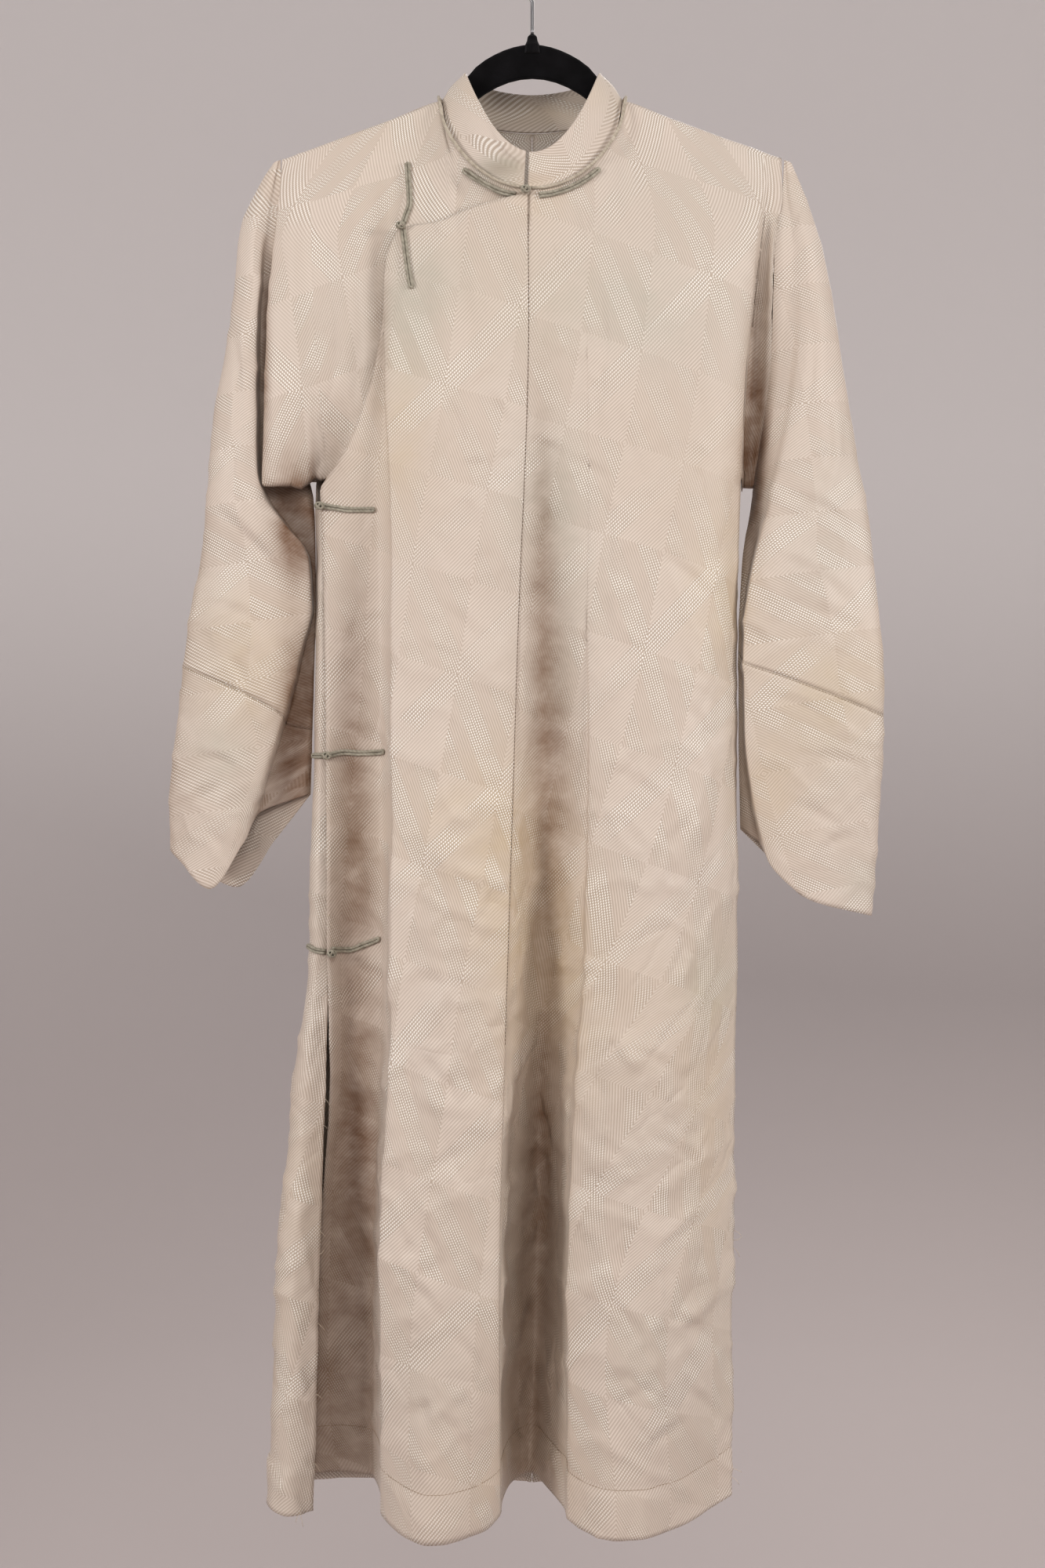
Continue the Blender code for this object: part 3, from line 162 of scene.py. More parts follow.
class Fold(NamedTuple):
    """One fold line down the robe: where it starts, then x and depth at each of SECTION_DROPS."""
    name: str
    top: float
    x: tuple
    depth: tuple
    hem: float


class Turn(NamedTuple):
    """One line of the drape between body and sleeve: its start, then x and depth at chest and armpit."""
    name: str
    top: float
    x: tuple
    depth: tuple


class SleeveRow(NamedTuple):
    """One section of a sleeve: drop, then the x of its edges and the depths of its faces."""
    drop: float
    outer: float
    crest: float
    inner: float
    front: float
    inside: float
    back: float


class SleeveCut(NamedTuple):
    """One sleeve: its side and sections, where it hangs from, and how low its seam, cuff and firm fold are.

    The drops of seam and cuff are those of the outer edge, mid front and inner edge.
    """
    side: str
    rows: tuple
    tip_x: float
    seam: tuple
    cuff: tuple
    firm_drop: float


class Leg(NamedTuple):
    """One leg of a frog closure: its points (x, drop) from the knot outward, and its space off the panel."""
    name: str
    panel: str
    route: tuple
    lift: float = 0.25


class Knot(NamedTuple):
    """A frog's ball knot: the panel that it lies on, its place there, and its space off the panel."""
    name: str
    panel: str
    x: float
    drop: float
    lift: float


class Crease(NamedTuple):
    """A line that the cloth was pressed or crushed along, between two places (x, drop)."""
    x: float
    drop: float
    end_x: float
    end_drop: float
    depth: float
    width: float


class TonePatch(NamedTuple):
    """A soft-edged patch of tone, ageing for green and yellow and soiling with painted shade for brown: its
    kind, its middle (x, drop), its half sizes and its strength.
    """
    kind: Mark
    x: float
    drop: float
    half_width: float
    half_height: float
    strength: float


class Fray(NamedTuple):
    """A loose end of thread: its piece, its start (x, drop, depth), and how far it runs aside and falls."""
    node: str
    x: float
    drop: float
    depth: float
    run: float
    fall: float


def listed(kind: type, *rows: tuple) -> tuple:
    """The rows of a table as named tuples of one kind."""
    return tuple(kind(*row) for row in rows)


FRONT_FOLDS = listed(
    Fold,
    # name, start on the neck or shoulder line, x and depth at the section drops, drop of the hem
    ("lap_edge", -189, (-184, -175, -173, -172, -184, -191), (-18, -14, -11, -1, 22, 38), 1311),
    ("trough_a", -169, (-157, -151, -153, -155, -162, -168), (-24, -14, 4, 14, 32, 42), 1311),
    ("corner_a", -149, (-139, -129, -128, -130, -138, -139), (-27, -16, 0, 8, 26, 36), 1312),
    ("crease_a", -126, (-123, -117, -117, -119, -125, -127), (-30, -42, -50, -54, -60, -30), 1322),
    ("rise_a", -103, (-98, -97, -96, -99, -102, -105), (-34, -47, -56, -60, -67, -66), 1331),
    ("ridge_a", -78, (-72, -74, -75, -77, -82, -86), (-38, -50, -60, -64, -71, -76), 1335),
    ("collar_a", -73, (-62, -64, -66, -68, -73, -74), (-38, -50, -60, -64, -71, -75), 1335),
    ("neck_a", -62, (-49, -52, -56, -58, -62, -62), (-39, -50, -60, -64, -70, -70), 1334),
    ("slope_a", -45, (-36, -40, -46, -48, -52, -52), (-40, -49, -59, -63, -69, -62), 1333),
    ("fall_a", -24, (-18, -26, -33, -35, -40, -38), (-41, -48, -56, -60, -66, -46), 1331),
    ("centre", -4, (-3, -12, -20, -23, -27, -26), (-41, -46, -53, -56, -60, -20), 1326),
    ("wall_b", 7, (6, -6, -14, -18, -22, -19), (-41, -43, -38, -26, -8, 22), 1315),
    ("trough_b", 19, (19, 11, 8, 6, 4, -3), (-41, -38, -12, 8, 36, 42), 1311),
    ("wall_c", 31, (32, 30, 31, 24, 20, 14), (-41, -42, -28, -8, 10, 8), 1316),
    ("edge_c", 46, (46, 47, 44, 37, 28, 28), (-41, -46, -50, -54, -54, -34), 1326),
    ("ridge_c", 62, (72, 72, 72, 70, 62, 56), (-40, -50, -60, -64, -68, -64), 1333),
    ("collar_c", 73, (86, 86, 86, 84, 78, 72), (-39, -50, -60, -64, -68, -65), 1334),
    ("neck_c", 78, (102, 102, 102, 101, 98, 88), (-38, -48, -58, -62, -66, -64), 1334),
    ("slope_c", 122, (131, 130, 129, 127, 124, 119), (-33, -40, -48, -50, -54, -42), 1332),
    ("near_side", 164, (162, 157, 155, 154, 151, 149), (-25, -26, -28, -29, -30, -20), 1322),
    ("side", 197, (184, 173, 173, 172, 169, 168), (-10, -8, -6, -6, -6, -8), 1315),
)

UNDER_FOLDS = tuple(Fold(name, top, (x, *[low_x] * 5), (depth, next_depth, *[low] * 4), UNDER_FRONT_HEM)
                    for name, top, x, low_x, depth, next_depth, low in (
    # name, start on the neck line, x and depth at the chest and at the sections below it
    ("side", -189, -184, -164, -14, 8, 14),
    ("trough", -169, -157, -146, -20, 7, 14),
    ("corner", -149, -139, -129, -23, 5, 14),
    ("crease", -126, -121, -112, -26, -6, 13),
    ("rise", -103, -98, -92, -30, -16, 12),
    ("ridge", -78, -72, -70, -34, -24, 10),
    ("collar", -73, -62, -60, -34, -25, 9),
    ("neck", -62, -49, -46, -35, -26, 8),
    ("slope", -45, -36, -32, -36, -28, 7),
    ("fall", -24, -20, -20, -36, -29, 6),
    ("end", -6, -6, -8, -36, -30, 5),
))

BACK_FOLDS = listed(
    Fold,
    # as in FRONT_FOLDS
    ("side_right", -189, (-184, -185, -191, -201, -217, -226), (28, 3, 4, 6, 8, 10), 1326),
    ("near_right", -167, (-164, -172, -178, -188, -202, -210), (33, 26, 30, 34, 38, 44), 1324),
    ("back_a", -122, (-128, -132, -136, -142, -152, -158), (36, 40, 46, 50, 56, 64), 1324),
    ("back_b", -78, (-88, -90, -92, -94, -100, -104), (37, 40, 44, 47, 52, 58), 1326),
    ("neck_b", -64, (-64, -64, -64, -65, -68, -70), (38, 42, 50, 54, 62, 70), 1328),
    ("back_c", -36, (-36, -36, -36, -36, -37, -38), (38, 44, 54, 58, 66, 76), 1328),
    ("centre", 0, (0, 0, 0, 0, 0, 0), (38, 42, 48, 50, 54, 60), 1326),
    ("back_d", 36, (36, 36, 36, 36, 37, 38), (38, 44, 52, 56, 64, 72), 1328),
    ("neck_e", 64, (64, 64, 64, 65, 66, 67), (38, 42, 48, 52, 60, 66), 1327),
    ("back_e", 78, (88, 88, 88, 88, 89, 90), (37, 40, 44, 46, 50, 56), 1326),
    ("back_f", 122, (128, 124, 124, 124, 124, 124), (36, 38, 44, 48, 56, 64), 1324),
    ("near_left", 167, (166, 162, 162, 161, 158, 156), (30, 24, 28, 30, 32, 36), 1320),
    ("side_left", 197, (184, 172.5, 172, 171, 168, 166.5), (22, -4, -2, -2, -1, -1), 1316),
)

STRIP_FOLDS = listed(
    Fold,
    # as in FRONT_FOLDS
    ("edge", -168, (-168, -169, -172, -175, -181, -186), (-8, -7, -5, -5, -3, -3), 1330),
    ("middle", -178, (-178, -178, -182, -189, -200, -207), (-9, -7, -6, -8, -10, -12), 1332),
)

FRONT_TURNS_RIGHT = listed(
    Turn,
    # name, start on the shoulder line, x and depth at the chest and the armpit
    ("flap", -202, (-205, -204), (-19, -16)),
    ("flap_edge", -211, (-224, -228), (-11, -9)),
    ("flap_back", -212, (-218, -218), (-2, -1)),
)
FRONT_TURNS_LEFT = listed(
    Turn,
    ("gap_edge", 203, (187, 180), (6, 9)),
    ("gap_back", 206, (195, 186), (9, 11)),
)
BACK_TURNS_RIGHT = listed(
    Turn,
    ("flap", -199, (-196, -188), (28, 16)),
    ("groove", -205, (-203, -190), (20, 15)),
)
BACK_TURNS_LEFT = listed(
    Turn,
    ("flap", 201, (192, 184), (21, 12)),
    ("groove", 206, (198, 188), (17, 13)),
)

LEFT_SLEEVE = SleeveCut(
    side="left", tip_x=214.5, seam=(656, 625, 602), cuff=(826, 812, 752), firm_drop=500,
    rows=listed(
        SleeveRow,
        # drop, x of the outer edge, the crest and the inner edge, depth in front, inside and behind
        (212, 231, 218, 212, -4, 0, 5),
        (262, 247, 227, 205, -10, -1, 16),
        (301, 255, 228, 204, -13, 1, 22),
        (345, 262, 226, 203, -16, 3, 27),
        (390, 270, 221, 199, -18, 6, 31),
        (434, 277, 212, 193, -19, 9, 33),
        (470, 284, 203, 188, -20, 12, 34),
        (525, 291, 188, 179, -21, 10, 33),
        (580, 296, 180, 176.5, -22, 8, 32),
        (607, 298, 178, 175.5, -22, 7, 31),
        (663, 298, 178.5, 175.5, -21, 7, 30),
        (745, 294, 190, 177, -20, 8, 28),
        (830, 288, 214, 178, -18, 8, 26),
    ),
)
RIGHT_SLEEVE = SleeveCut(
    side="right", tip_x=-214.0, seam=(613, 640, 668), cuff=(770, 803, 722), firm_drop=290,
    rows=listed(
        SleeveRow,
        # drop, x of the outer edge, the crest and the inner edge, depth in front, inside and behind
        (200, -229, -219, -213, -4, 0, 5),
        (243, -248, -230, -210, -10, 3, 16),
        (300, -254, -232, -207, -12, 7, 22),
        (350, -262, -234, -203, -14, 10, 27),
        (398, -272, -234, -198, -15, 12, 31),
        (447, -275, -233, -192, -16, 13, 33),
        (470, -277, -228, -187, -16, 14, 34),
        (492, -279, -211, -185.5, -15, 14, 34),
        (524, -283, -190, -185, -12, 13, 34),
        (560, -289, -188.5, -185, -12, 13, 32),
        (600, -297, -197, -186, -10, 15, 31),
        (664, -303, -214, -188, -8, 18, 30),
        (728, -310, -236, -190, -6, 20, 29),
        (800, -308, -256, -198, -4, 20, 28),
    ),
)
SLEEVES = (LEFT_SLEEVE, RIGHT_SLEEVE)

YOKE_PINS = {"ridge": ((160, -11), (195, -19)), "rise": ((175, -10), (215, -17)), "crease": ((190, -9),),
             "collar": ((165, -15.5), (180, -19.3), (195, -22.0), (215, -24.5))}
LAP_CORNER_DROP = 248.0
LAP_EDGE = ((248, -112), (262, -119), (277, -123), (321, -125), (350, -129), (379, -135), (402, -143),
            (425, -153), (449, -167), (470, -181), (482, -184), (508, -179), (552, -175))
LAP_LIFT = 3.2               # how far the cut edge stands off the cloth below, down to LAP_FREE_DROP
LAP_FREE_DROP = 520.0
LAP_FREE_FADE = 60.0
RIM = ((0.8, 1.2), (2.6, 2.2), (5.2, 2.4), (8.0, 1.0))     # back and down from the drape's lower edge
LAP_TOP_LIFT = 2.4           # and at the lap's top
LAP_TOP_FADE = 34.0
LAP_TUCK = 3.2               # how far the yoke drops back below the collar to lie under the lap
LAP_TUCK_DROP = 14.0
SAG = ((0, 0), (0.3, -3), (0.62, 7), (1, 3))     # of that edge, from the body to the sleeve
SAG_HEIGHT = 55.0

FROG_LEGS = listed(
    Leg,
    # name, panel, points (x, drop) from the knot outward
    ("chest_up", "yoke", ((-108, 243), (-106, 236), (-103, 226), (-104, 208), (-105, 192))),
    ("chest_down", "overlap", ((-108, 251), (-106, 266), (-104, 281), (-101, 299))),
    ("armpit_in", "overlap", ((-178, 480), (-165, 482), (-150, 484), (-134, 484))),
    ("waist_in", "overlap", ((-172, 690), (-158, 687), (-145, 688), (-124, 687))),
    ("waist_out", "strip", ((-177, 690), (-183, 690), (-189, 690))),
    ("hip_in", "overlap", ((-170, 854), (-156, 855), (-144, 851), (-130, 846))),
    ("hip_out", "strip", ((-175, 856), (-183, 855), (-190, 852))),
)
COLLAR_LEG_END = 50.0
COLLAR_LEG_OFFSET = 6.2
KNOTS = listed(
    Knot,
    # name, panel, x, drop, space off the panel
    ("collar", "front", -4.7, 221, 3.0),
    ("chest", "overlap", -109.5, 248, 0.3),
    ("armpit", "overlap", -184, 480, 0.3),
    ("waist", "overlap", -174, 690, 0.3),
    ("hip", "overlap", -172, 857, 0.3),
)
CORD_RADIUS = 1.25
KNOT_RADIUS = 4.2
PIPING_RADIUS = 1.4
PIPING_RISE = 2.1
FRAY_RADIUS = 0.18

# Creases of the front, from the collar down; depth and width are half sizes of the trough
FRONT_CREASES = listed(
    Crease,
    (36, 224, 46, 262, 0.9, 3.2), (46, 262, 52, 420, 0.7, 3.0), (52, 420, 50, 640, 0.45, 3.0),
    (-58, 452, -36, 449, 0.9, 2.4), (-36, 449, -14, 441, 0.8, 2.2), (-8, 428, 32, 444, 1.0, 2.6),
    (32, 444, 62, 462, 0.7, 2.6), (-73, 392, -58, 430, 1.0, 2.2), (-52, 392, -30, 368, 0.9, 2.4),
    (-40, 386, -20, 424, 0.9, 2.0), (-60, 300, -58, 372, 0.8, 9.0), (-36, 262, -18, 330, 0.5, 5.0),
    (-10, 300, -8, 420, 0.4, 3.0), (-116, 878, -28, 884, 0.45, 2.6), (-28, 884, 90, 876, 0.35, 2.6),
    (-40, 820, -18, 796, 0.7, 3.0), (96, 520, 150, 560, 0.6, 4.0), (120, 640, 160, 700, 0.6, 4.0),
    (60, 700, 120, 740, 0.6, 4.0), (100, 780, 148, 730, 0.6, 3.4), (-90, 560, -40, 600, 0.5, 4.0),
    (-100, 930, -60, 980, 0.7, 4.0), (-96, 1040, -44, 1010, 0.7, 3.6), (-110, 1110, -70, 1160, 0.8, 3.4),
    (-60, 1090, -36, 1140, 0.7, 3.0), (-104, 1232, -78, 1218, 1.1, 2.6), (-92, 1212, -86, 1246, 1.1, 2.4),
    (-78, 1226, -56, 1260, 0.9, 2.6), (-70, 1160, -40, 1200, 0.8, 3.0), (70, 930, 130, 960, 0.7, 4.0),
    (90, 1000, 150, 1040, 0.8, 3.6), (60, 1060, 110, 1030, 0.7, 3.0), (100, 1100, 150, 1070, 0.8, 3.2),
    (56, 1130, 96, 1180, 0.8, 3.0), (110, 1150, 160, 1190, 0.8, 3.4), (60, 1230, 104, 1206, 0.9, 3.0),
    (90, 1264, 130, 1240, 0.9, 2.8), (120, 1210, 158, 1250, 0.9, 3.0), (40, 900, 60, 990, 0.5, 4.0),
    (100, 260, 150, 300, 0.5, 5.0), (110, 330, 140, 420, 0.4, 6.0), (-150, 640, -134, 660, 0.9, 3.0),
    (-152, 700, -128, 712, 1.0, 3.0), (-150, 820, -130, 836, 0.9, 3.0), (-150, 870, -126, 880, 1.0, 3.0),
    (-152, 760, -130, 790, 0.6, 4.0), (-150, 960, -136, 1010, 0.6, 4.0),
    (-158, 1080, -140, 1150, 0.6, 4.0), (-110, 640, -108, 840, 0.3, 3.0), (-44, 640, -40, 860, 0.3, 5.0),
    (132, 460, 128, 900, 0.3, 4.0),
)
SHOULDER_CREASES = listed(
    Crease,
    (-140, 210, -136, 330, 0.8, 4.0), (-160, 230, -156, 420, 0.7, 5.0), (-176, 240, -174, 400, 0.9, 3.0),
    (-128, 300, -150, 420, 0.8, 5.0), (-118, 200, -90, 220, 0.4, 5.0), (-150, 400, -170, 452, 0.8, 4.0),
    (-84, 188, -60, 214, 0.5, 4.0), (-60, 226, -56, 212, 0.6, 2.4),
)
BACK_CREASES = listed(
    Crease,
    (-30, 300, -22, 520, 0.5, 6.0), (30, 260, 40, 420, 0.6, 5.0), (60, 520, 110, 560, 0.7, 4.0),
    (-60, 600, -110, 640, 0.7, 4.0), (-120, 760, -60, 800, 0.7, 4.0), (20, 700, 80, 740, 0.6, 4.0),
    (100, 840, 60, 900, 0.6, 4.0), (-40, 900, -90, 950, 0.7, 3.6), (40, 1000, 100, 1030, 0.8, 3.4),
    (-140, 1040, -90, 1080, 0.8, 3.4), (-20, 1090, 30, 1130, 0.8, 3.2), (80, 1160, 140, 1120, 0.8, 3.2),
    (-110, 1180, -60, 1220, 0.9, 3.0), (20, 1230, 70, 1200, 0.9, 3.0), (-170, 900, -150, 980, 0.6, 4.0),
    (-8, 440, 120, 452, 0.5, 2.8), (-120, 448, -8, 440, 0.5, 2.8), (-130, 884, 130, 880, 0.4, 2.8),
)
SLEEVE_CREASES = listed(
    Crease,
    (-262, 300, -250, 420, 0.7, 4.0), (-246, 360, -262, 470, 0.6, 4.0), (-270, 480, -230, 520, 0.8, 4.0),
    (-280, 560, -226, 580, 0.9, 3.4), (-262, 600, -236, 640, 0.7, 3.4), (-286, 690, -250, 700, 0.9, 3.0),
    (-292, 730, -262, 716, 0.9, 2.8), (-276, 752, -258, 776, 0.8, 2.8), (-246, 500, -214, 540, 0.8, 3.6),
    (232, 300, 226, 420, 0.6, 4.0), (248, 380, 240, 480, 0.5, 4.0), (214, 470, 272, 500, 0.8, 4.0),
    (200, 520, 268, 560, 0.8, 3.6), (210, 560, 286, 590, 0.7, 3.4), (196, 640, 250, 660, 0.9, 3.0),
    (220, 690, 284, 700, 0.8, 3.0), (216, 730, 262, 752, 0.9, 2.8), (240, 770, 276, 756, 0.9, 2.8),
)

FRAYS = listed(
    Fray,
    ("back_right", -176, 980, -8, 5, 6), ("back_right", -177, 1003, -8, 4, 3),
    ("back_right", -180, 1093, -6, 5, 5), ("back_right", -180, 1112, -6, 4, -3),
    ("back_right", -181, 1171, -6, 6, 6), ("back_right", -183, 1231, -5, 5, 4),
    ("back_right", -185, 1290, -4, 5, 7), ("back_right", -198, 1329, -10, 3, 12),
    ("back_right", -196, 1329, -10, -4, 9), ("front_left", 172, 1092, -6, 6, 4),
    ("front_left", 172, 1100, -6, 7, -3), ("front_left", 172, 1107, -6, 5, 7),
    ("front_left", 169, 1292, -6, 7, 3), ("front_left", 168, 1300, -6, 6, 6),
    ("front_overlap", -176, 824, -3, -3, 6), ("front_overlap", -176, 832, -3, 3, 4),
)

STAINS_AND_SHADE = tuple(TonePatch(kind, *row) for kind, rows in (
    (Mark.GREEN, (
        (-104, 330, 26, 60, 0.9), (-84, 290, 34, 30, 0.5), (60, 310, 60, 40, 0.55),
        (110, 330, 44, 46, 0.4), (12, 470, 34, 60, 0.7), (26, 560, 26, 70, 0.5), (16, 640, 20, 40, 0.6),
        (150, 880, 26, 40, 0.8), (-262, 690, 26, 36, 0.6), (246, 520, 40, 60, 0.35),
        (-28, 202, 19, 11, 1.6), (280, 800, 24, 20, 0.6), (92, 1180, 30, 40, 0.3),
    )),
    (Mark.YELLOW, (
        (160, 560, 30, 60, 0.7), (-12, 800, 34, 110, 0.8), (24, 860, 30, 90, 0.6),
        (250, 640, 50, 50, 0.7), (-60, 760, 40, 60, 0.4), (150, 1000, 26, 120, 0.5),
        (-240, 620, 40, 60, 0.4), (-110, 420, 20, 60, 0.5), (0, 220, 30, 24, 0.5), (0, 130, 60, 20, 0.6),
        (200, 720, 30, 40, 0.6), (-20, 1290, 60, 30, 0.3),
    )),
    # brown: some soiling, but mostly painted shade in the fold troughs, the gaps beside the sleeves, the
    # underarm hollows and beside the lap's cut edge
    (Mark.BROWN, (
        (-152, 640, 16, 110, 0.5), (-150, 775, 18, 90, 0.65), (-128, 330, 8, 80, 0.5),
        (-168, 430, 12, 40, 0.3), (14, 700, 20, 160, 0.8), (8, 520, 11, 120, 0.42),
        (-150, 1010, 16, 120, 0.3), (12, 960, 14, 130, 0.3), (-200, 492, 17, 46, 1.4),
        (190, 415, 9, 75, 0.9), (-226, 360, 5, 80, 0.8), (-186, 500, 3, 60, 0.9), (185, 446, 9, 28, 1.0),
        (-28, 202, 18, 9, 0.3), (-199, 660, 14, 70, 1.2),
    )),
) for row in rows)


# Curves and surfaces

def tangents(knots: np.ndarray, table: np.ndarray) -> np.ndarray:
    """Slopes at the knots of a smooth curve that never swings past its own values.

    Args:
        knots: Rising places, one for each row of the table.
        table: Values at the knots, along the first axis.

    Returns:
        The slope at each knot, shaped like the table.
    """
    shape = (-1,) + (1,) * (table.ndim - 1)
    slope = np.diff(table, axis=0) / np.diff(knots).reshape(shape)
    found = np.zeros_like(table)
    found[0], found[-1] = slope[0], slope[-1]
    product = slope[:-1] * slope[1:]
    same = product > 0
    found[1:-1] = np.where(same, 2 * product / np.where(same, slope[:-1] + slope[1:], 1.0), 0.0)
    return found


def monotone(knots: Sequence, values: Sequence, at: np.ndarray) -> np.ndarray:
    """Values of a smooth curve through (knots, values) that never swings past them.

    Args:
        knots: Rising places.
        values: The value at each of them.
        at: Where to read the curve.

    Returns:
        One value for each place in at.
    """
    knots, values = np.asarray(knots, float), np.asarray(values, float)
    slope = tangents(knots, values)
    at = np.clip(at, knots[0], knots[-1])
    k = np.clip(np.searchsorted(knots, at, side="right") - 1, 0, len(knots) - 2)
    width = knots[k + 1] - knots[k]
    u = (at - knots[k]) / width
    rise = values[k + 1] - values[k]
    start, end = slope[k] * width, slope[k + 1] * width
    return values[k] + u * start + u * u * (3 * rise - 2 * start - end) + u ** 3 * (start + end - 2 * rise)


def across(chain: np.ndarray, position: np.ndarray) -> np.ndarray:
    """Points on smooth curves that run across a chain of lines.

    Args:
        chain: Points shaped (lines, places, 3).
        position: For each place, where to read between the first line, 0, and the last.

    Returns:
        Points shaped (places, 3).
    """
    slope = tangents(np.arange(len(chain), dtype=float), chain)
    position = np.clip(position, 0, len(chain) - 1)
    k = np.clip(position.astype(int), 0, len(chain) - 2)
    u = (position - k)[:, None]
    place = np.arange(len(position))
    low, high = chain[k, place], chain[k + 1, place]
    start, end, rise = slope[k, place], slope[k + 1, place], high - low
    return low + u * start + u * u * (3 * rise - 2 * start - end) + u ** 3 * (start + end - 2 * rise)


def neck_drop(x: float, face: Face) -> float:
    """Drop of the neckline at x on a face.

    Args:
        x: Where, across.
        face: The robe's face.

    Returns:
        The drop.
    """
    cosine = math.sqrt(max(0.0, 1 - (x / NECK_HALF_WIDTH) ** 2))
    deepest = NECK_FRONT_DROP if face is Face.FRONT else NECK_BACK_DROP
    return NECK_SIDE_DROP + (deepest - NECK_SIDE_DROP) * cosine ** NECK_CURVE


def shoulder_drop(x: float) -> float:
    """Drop of the shoulder line at x, outside the neck."""
    return NECK_SIDE_DROP + (abs(x) - NECK_HALF_WIDTH) * SHOULDER_SLOPE


def in_neck(x: float) -> bool:
    """Whether a line that starts at x starts on the neckline and not on the shoulder."""
    return abs(x) < NECK_HALF_WIDTH - 0.5


def top_of(x: float, face: Face) -> tuple:
    """The neck or shoulder line at x.

    Args:
        x: Where, across.
        face: The robe's face.

    Returns:
        Its drop and its depth.
    """
    if in_neck(x):
        depth = NECK_HALF_DEPTH * math.sqrt(1 - (x / NECK_HALF_WIDTH) ** 2)
        return neck_drop(x, face), face.value * max(depth, SEAM_GAP / 2)
    return shoulder_drop(x), face.value * SEAM_GAP / 2


class Line:
    """A line down the cloth, from its top to its foot, with x and depth smooth in between."""

    def __init__(self, top_x: float, drops: Sequence, xs: Sequence, depths: Sequence, foot: float,
                 face: Face) -> None:
        """Lay the line out.

        Args:
            top_x: Where it starts on the neck or shoulder line.
            drops: The drops of its further points.
            xs: x at those drops.
            depths: Depth at those drops.
            foot: The drop where it ends.
            face: The robe's face that it lies on.
        """
        self.top, depth = top_of(top_x, face)
        self.foot = foot
        head, head_depth = [self.top], [depth]
        if not in_neck(top_x):
            head += [self.top + HEAD_STEPS[1], self.top + HEAD_STEPS[2]]
            head_depth += [face.value * LIP_RADIUS * LIP_SHARE, face.value * LIP_RADIUS]
        self.x_knots, self.xs = [self.top, *drops], [top_x, *xs]
        self.depth_knots, self.depths = [*head, *drops], [*head_depth, *depths]

    def tuck(self, drop: float, depth: float) -> None:
        """Move the line back by depth from a drop below its top onward."""
        self.depth_knots.insert(1, self.top + drop)
        self.depths.insert(1, self.depths[0] + depth)

    def pin(self, drop: float, depth: float) -> None:
        """Hold the line at a depth at a drop above its first section."""
        place = next(k for k, knot in enumerate(self.depth_knots) if knot > drop)
        self.depth_knots.insert(place, drop)
        self.depths.insert(place, depth)

    def at(self, drops: np.ndarray) -> np.ndarray:
        """Points of the line at some drops, shaped (drops, 3)."""
        drops = np.atleast_1d(np.asarray(drops, float))
        x = monotone(self.x_knots, self.xs, drops)
        depth = monotone(self.depth_knots, self.depths, drops)
        return np.stack([x, depth, -drops], axis=1)

    def row_drops(self, levels: Sequence) -> list:
        """Drop of the line at each whole row: over the hanger, at the levels, then down to its foot."""
        drops = [self.top + step for step in HEAD_STEPS]
        start = drops[-1]
        drops += [start + (levels[0] - start) * (k / HEAD_ROWS) ** HEAD_SPREAD for k in range(1, HEAD_ROWS)]
        drops += list(levels)
        drops += [levels[-1] + (self.foot - levels[-1]) * k / FOOT_ROWS for k in range(1, FOOT_ROWS + 1)]
        return drops


def crisp(folds: tuple, edges: dict) -> tuple:
    """Fold lines with a helper just behind each pressed edge, so that the cloth turns sharply there.

    Args:
        folds: The lines.
        edges: Name of each pressed edge to the name of the neighbour that it falls back to.

    Returns:
        The lines with their helpers.
    """
    table = {fold.name: fold for fold in folds}
    made = []
    for fold in folds:
        made.append(fold)
        for edge, neighbour in edges.items():
            start, end = table[edge], table[neighbour]
            after = folds.index(start) < folds.index(end)
            if fold is not (start if after else end):
                continue
            x = tuple(a + (b - a) * PRESSED_X for a, b in zip(start.x, end.x))
            depth = tuple(a + (b - a) * PRESSED_DEPTH for a, b in zip(start.depth, end.depth))
            top = start.top + (end.top - start.top) * PRESSED_ENDS
            hem = start.hem + (end.hem - start.hem) * PRESSED_ENDS
            made.append(Fold(f"{edge}_back", top, x, depth, hem))
    return tuple(made)


def fold_line(fold: Fold, face: Face) -> Line:
    """The line of a fold in the body."""
    return Line(fold.top, SECTION_DROPS, fold.x, fold.depth, fold.hem, face)


def turn_line(turn: Turn, face: Face) -> Line:
    """The line of a turn in the drape beside a sleeve."""
    return Line(turn.top, (SECTION_DROPS[0], ARMPIT_DROP), turn.x, turn.depth, ARMPIT_DROP, face)


def fold_lines(folds: Sequence, face: Face) -> list:
    """The lines of some folds in the body."""
    return [fold_line(fold, face) for fold in folds]


def place_of(folds: Sequence, name: str = "centre") -> int:
    """The place of a fold among others."""
    return [fold.name for fold in folds].index(name)


class SleeveLine(Line):
    """A line down a sleeve, at a share of the way round it."""

    def __init__(self, tip_x: float, drops: list, xs: list, depths: list, seam: float, cuff: float) -> None:
        """Lay the line out from the hanger's end, with its drops at the seam and at the cuff."""
        self.top, self.foot, self.cuff = shoulder_drop(tip_x), seam, cuff
        self.x_knots, self.xs = [self.top, *drops], [tip_x, *xs]
        self.depth_knots, self.depths = self.x_knots, [depths[0] * 0.5, *depths]


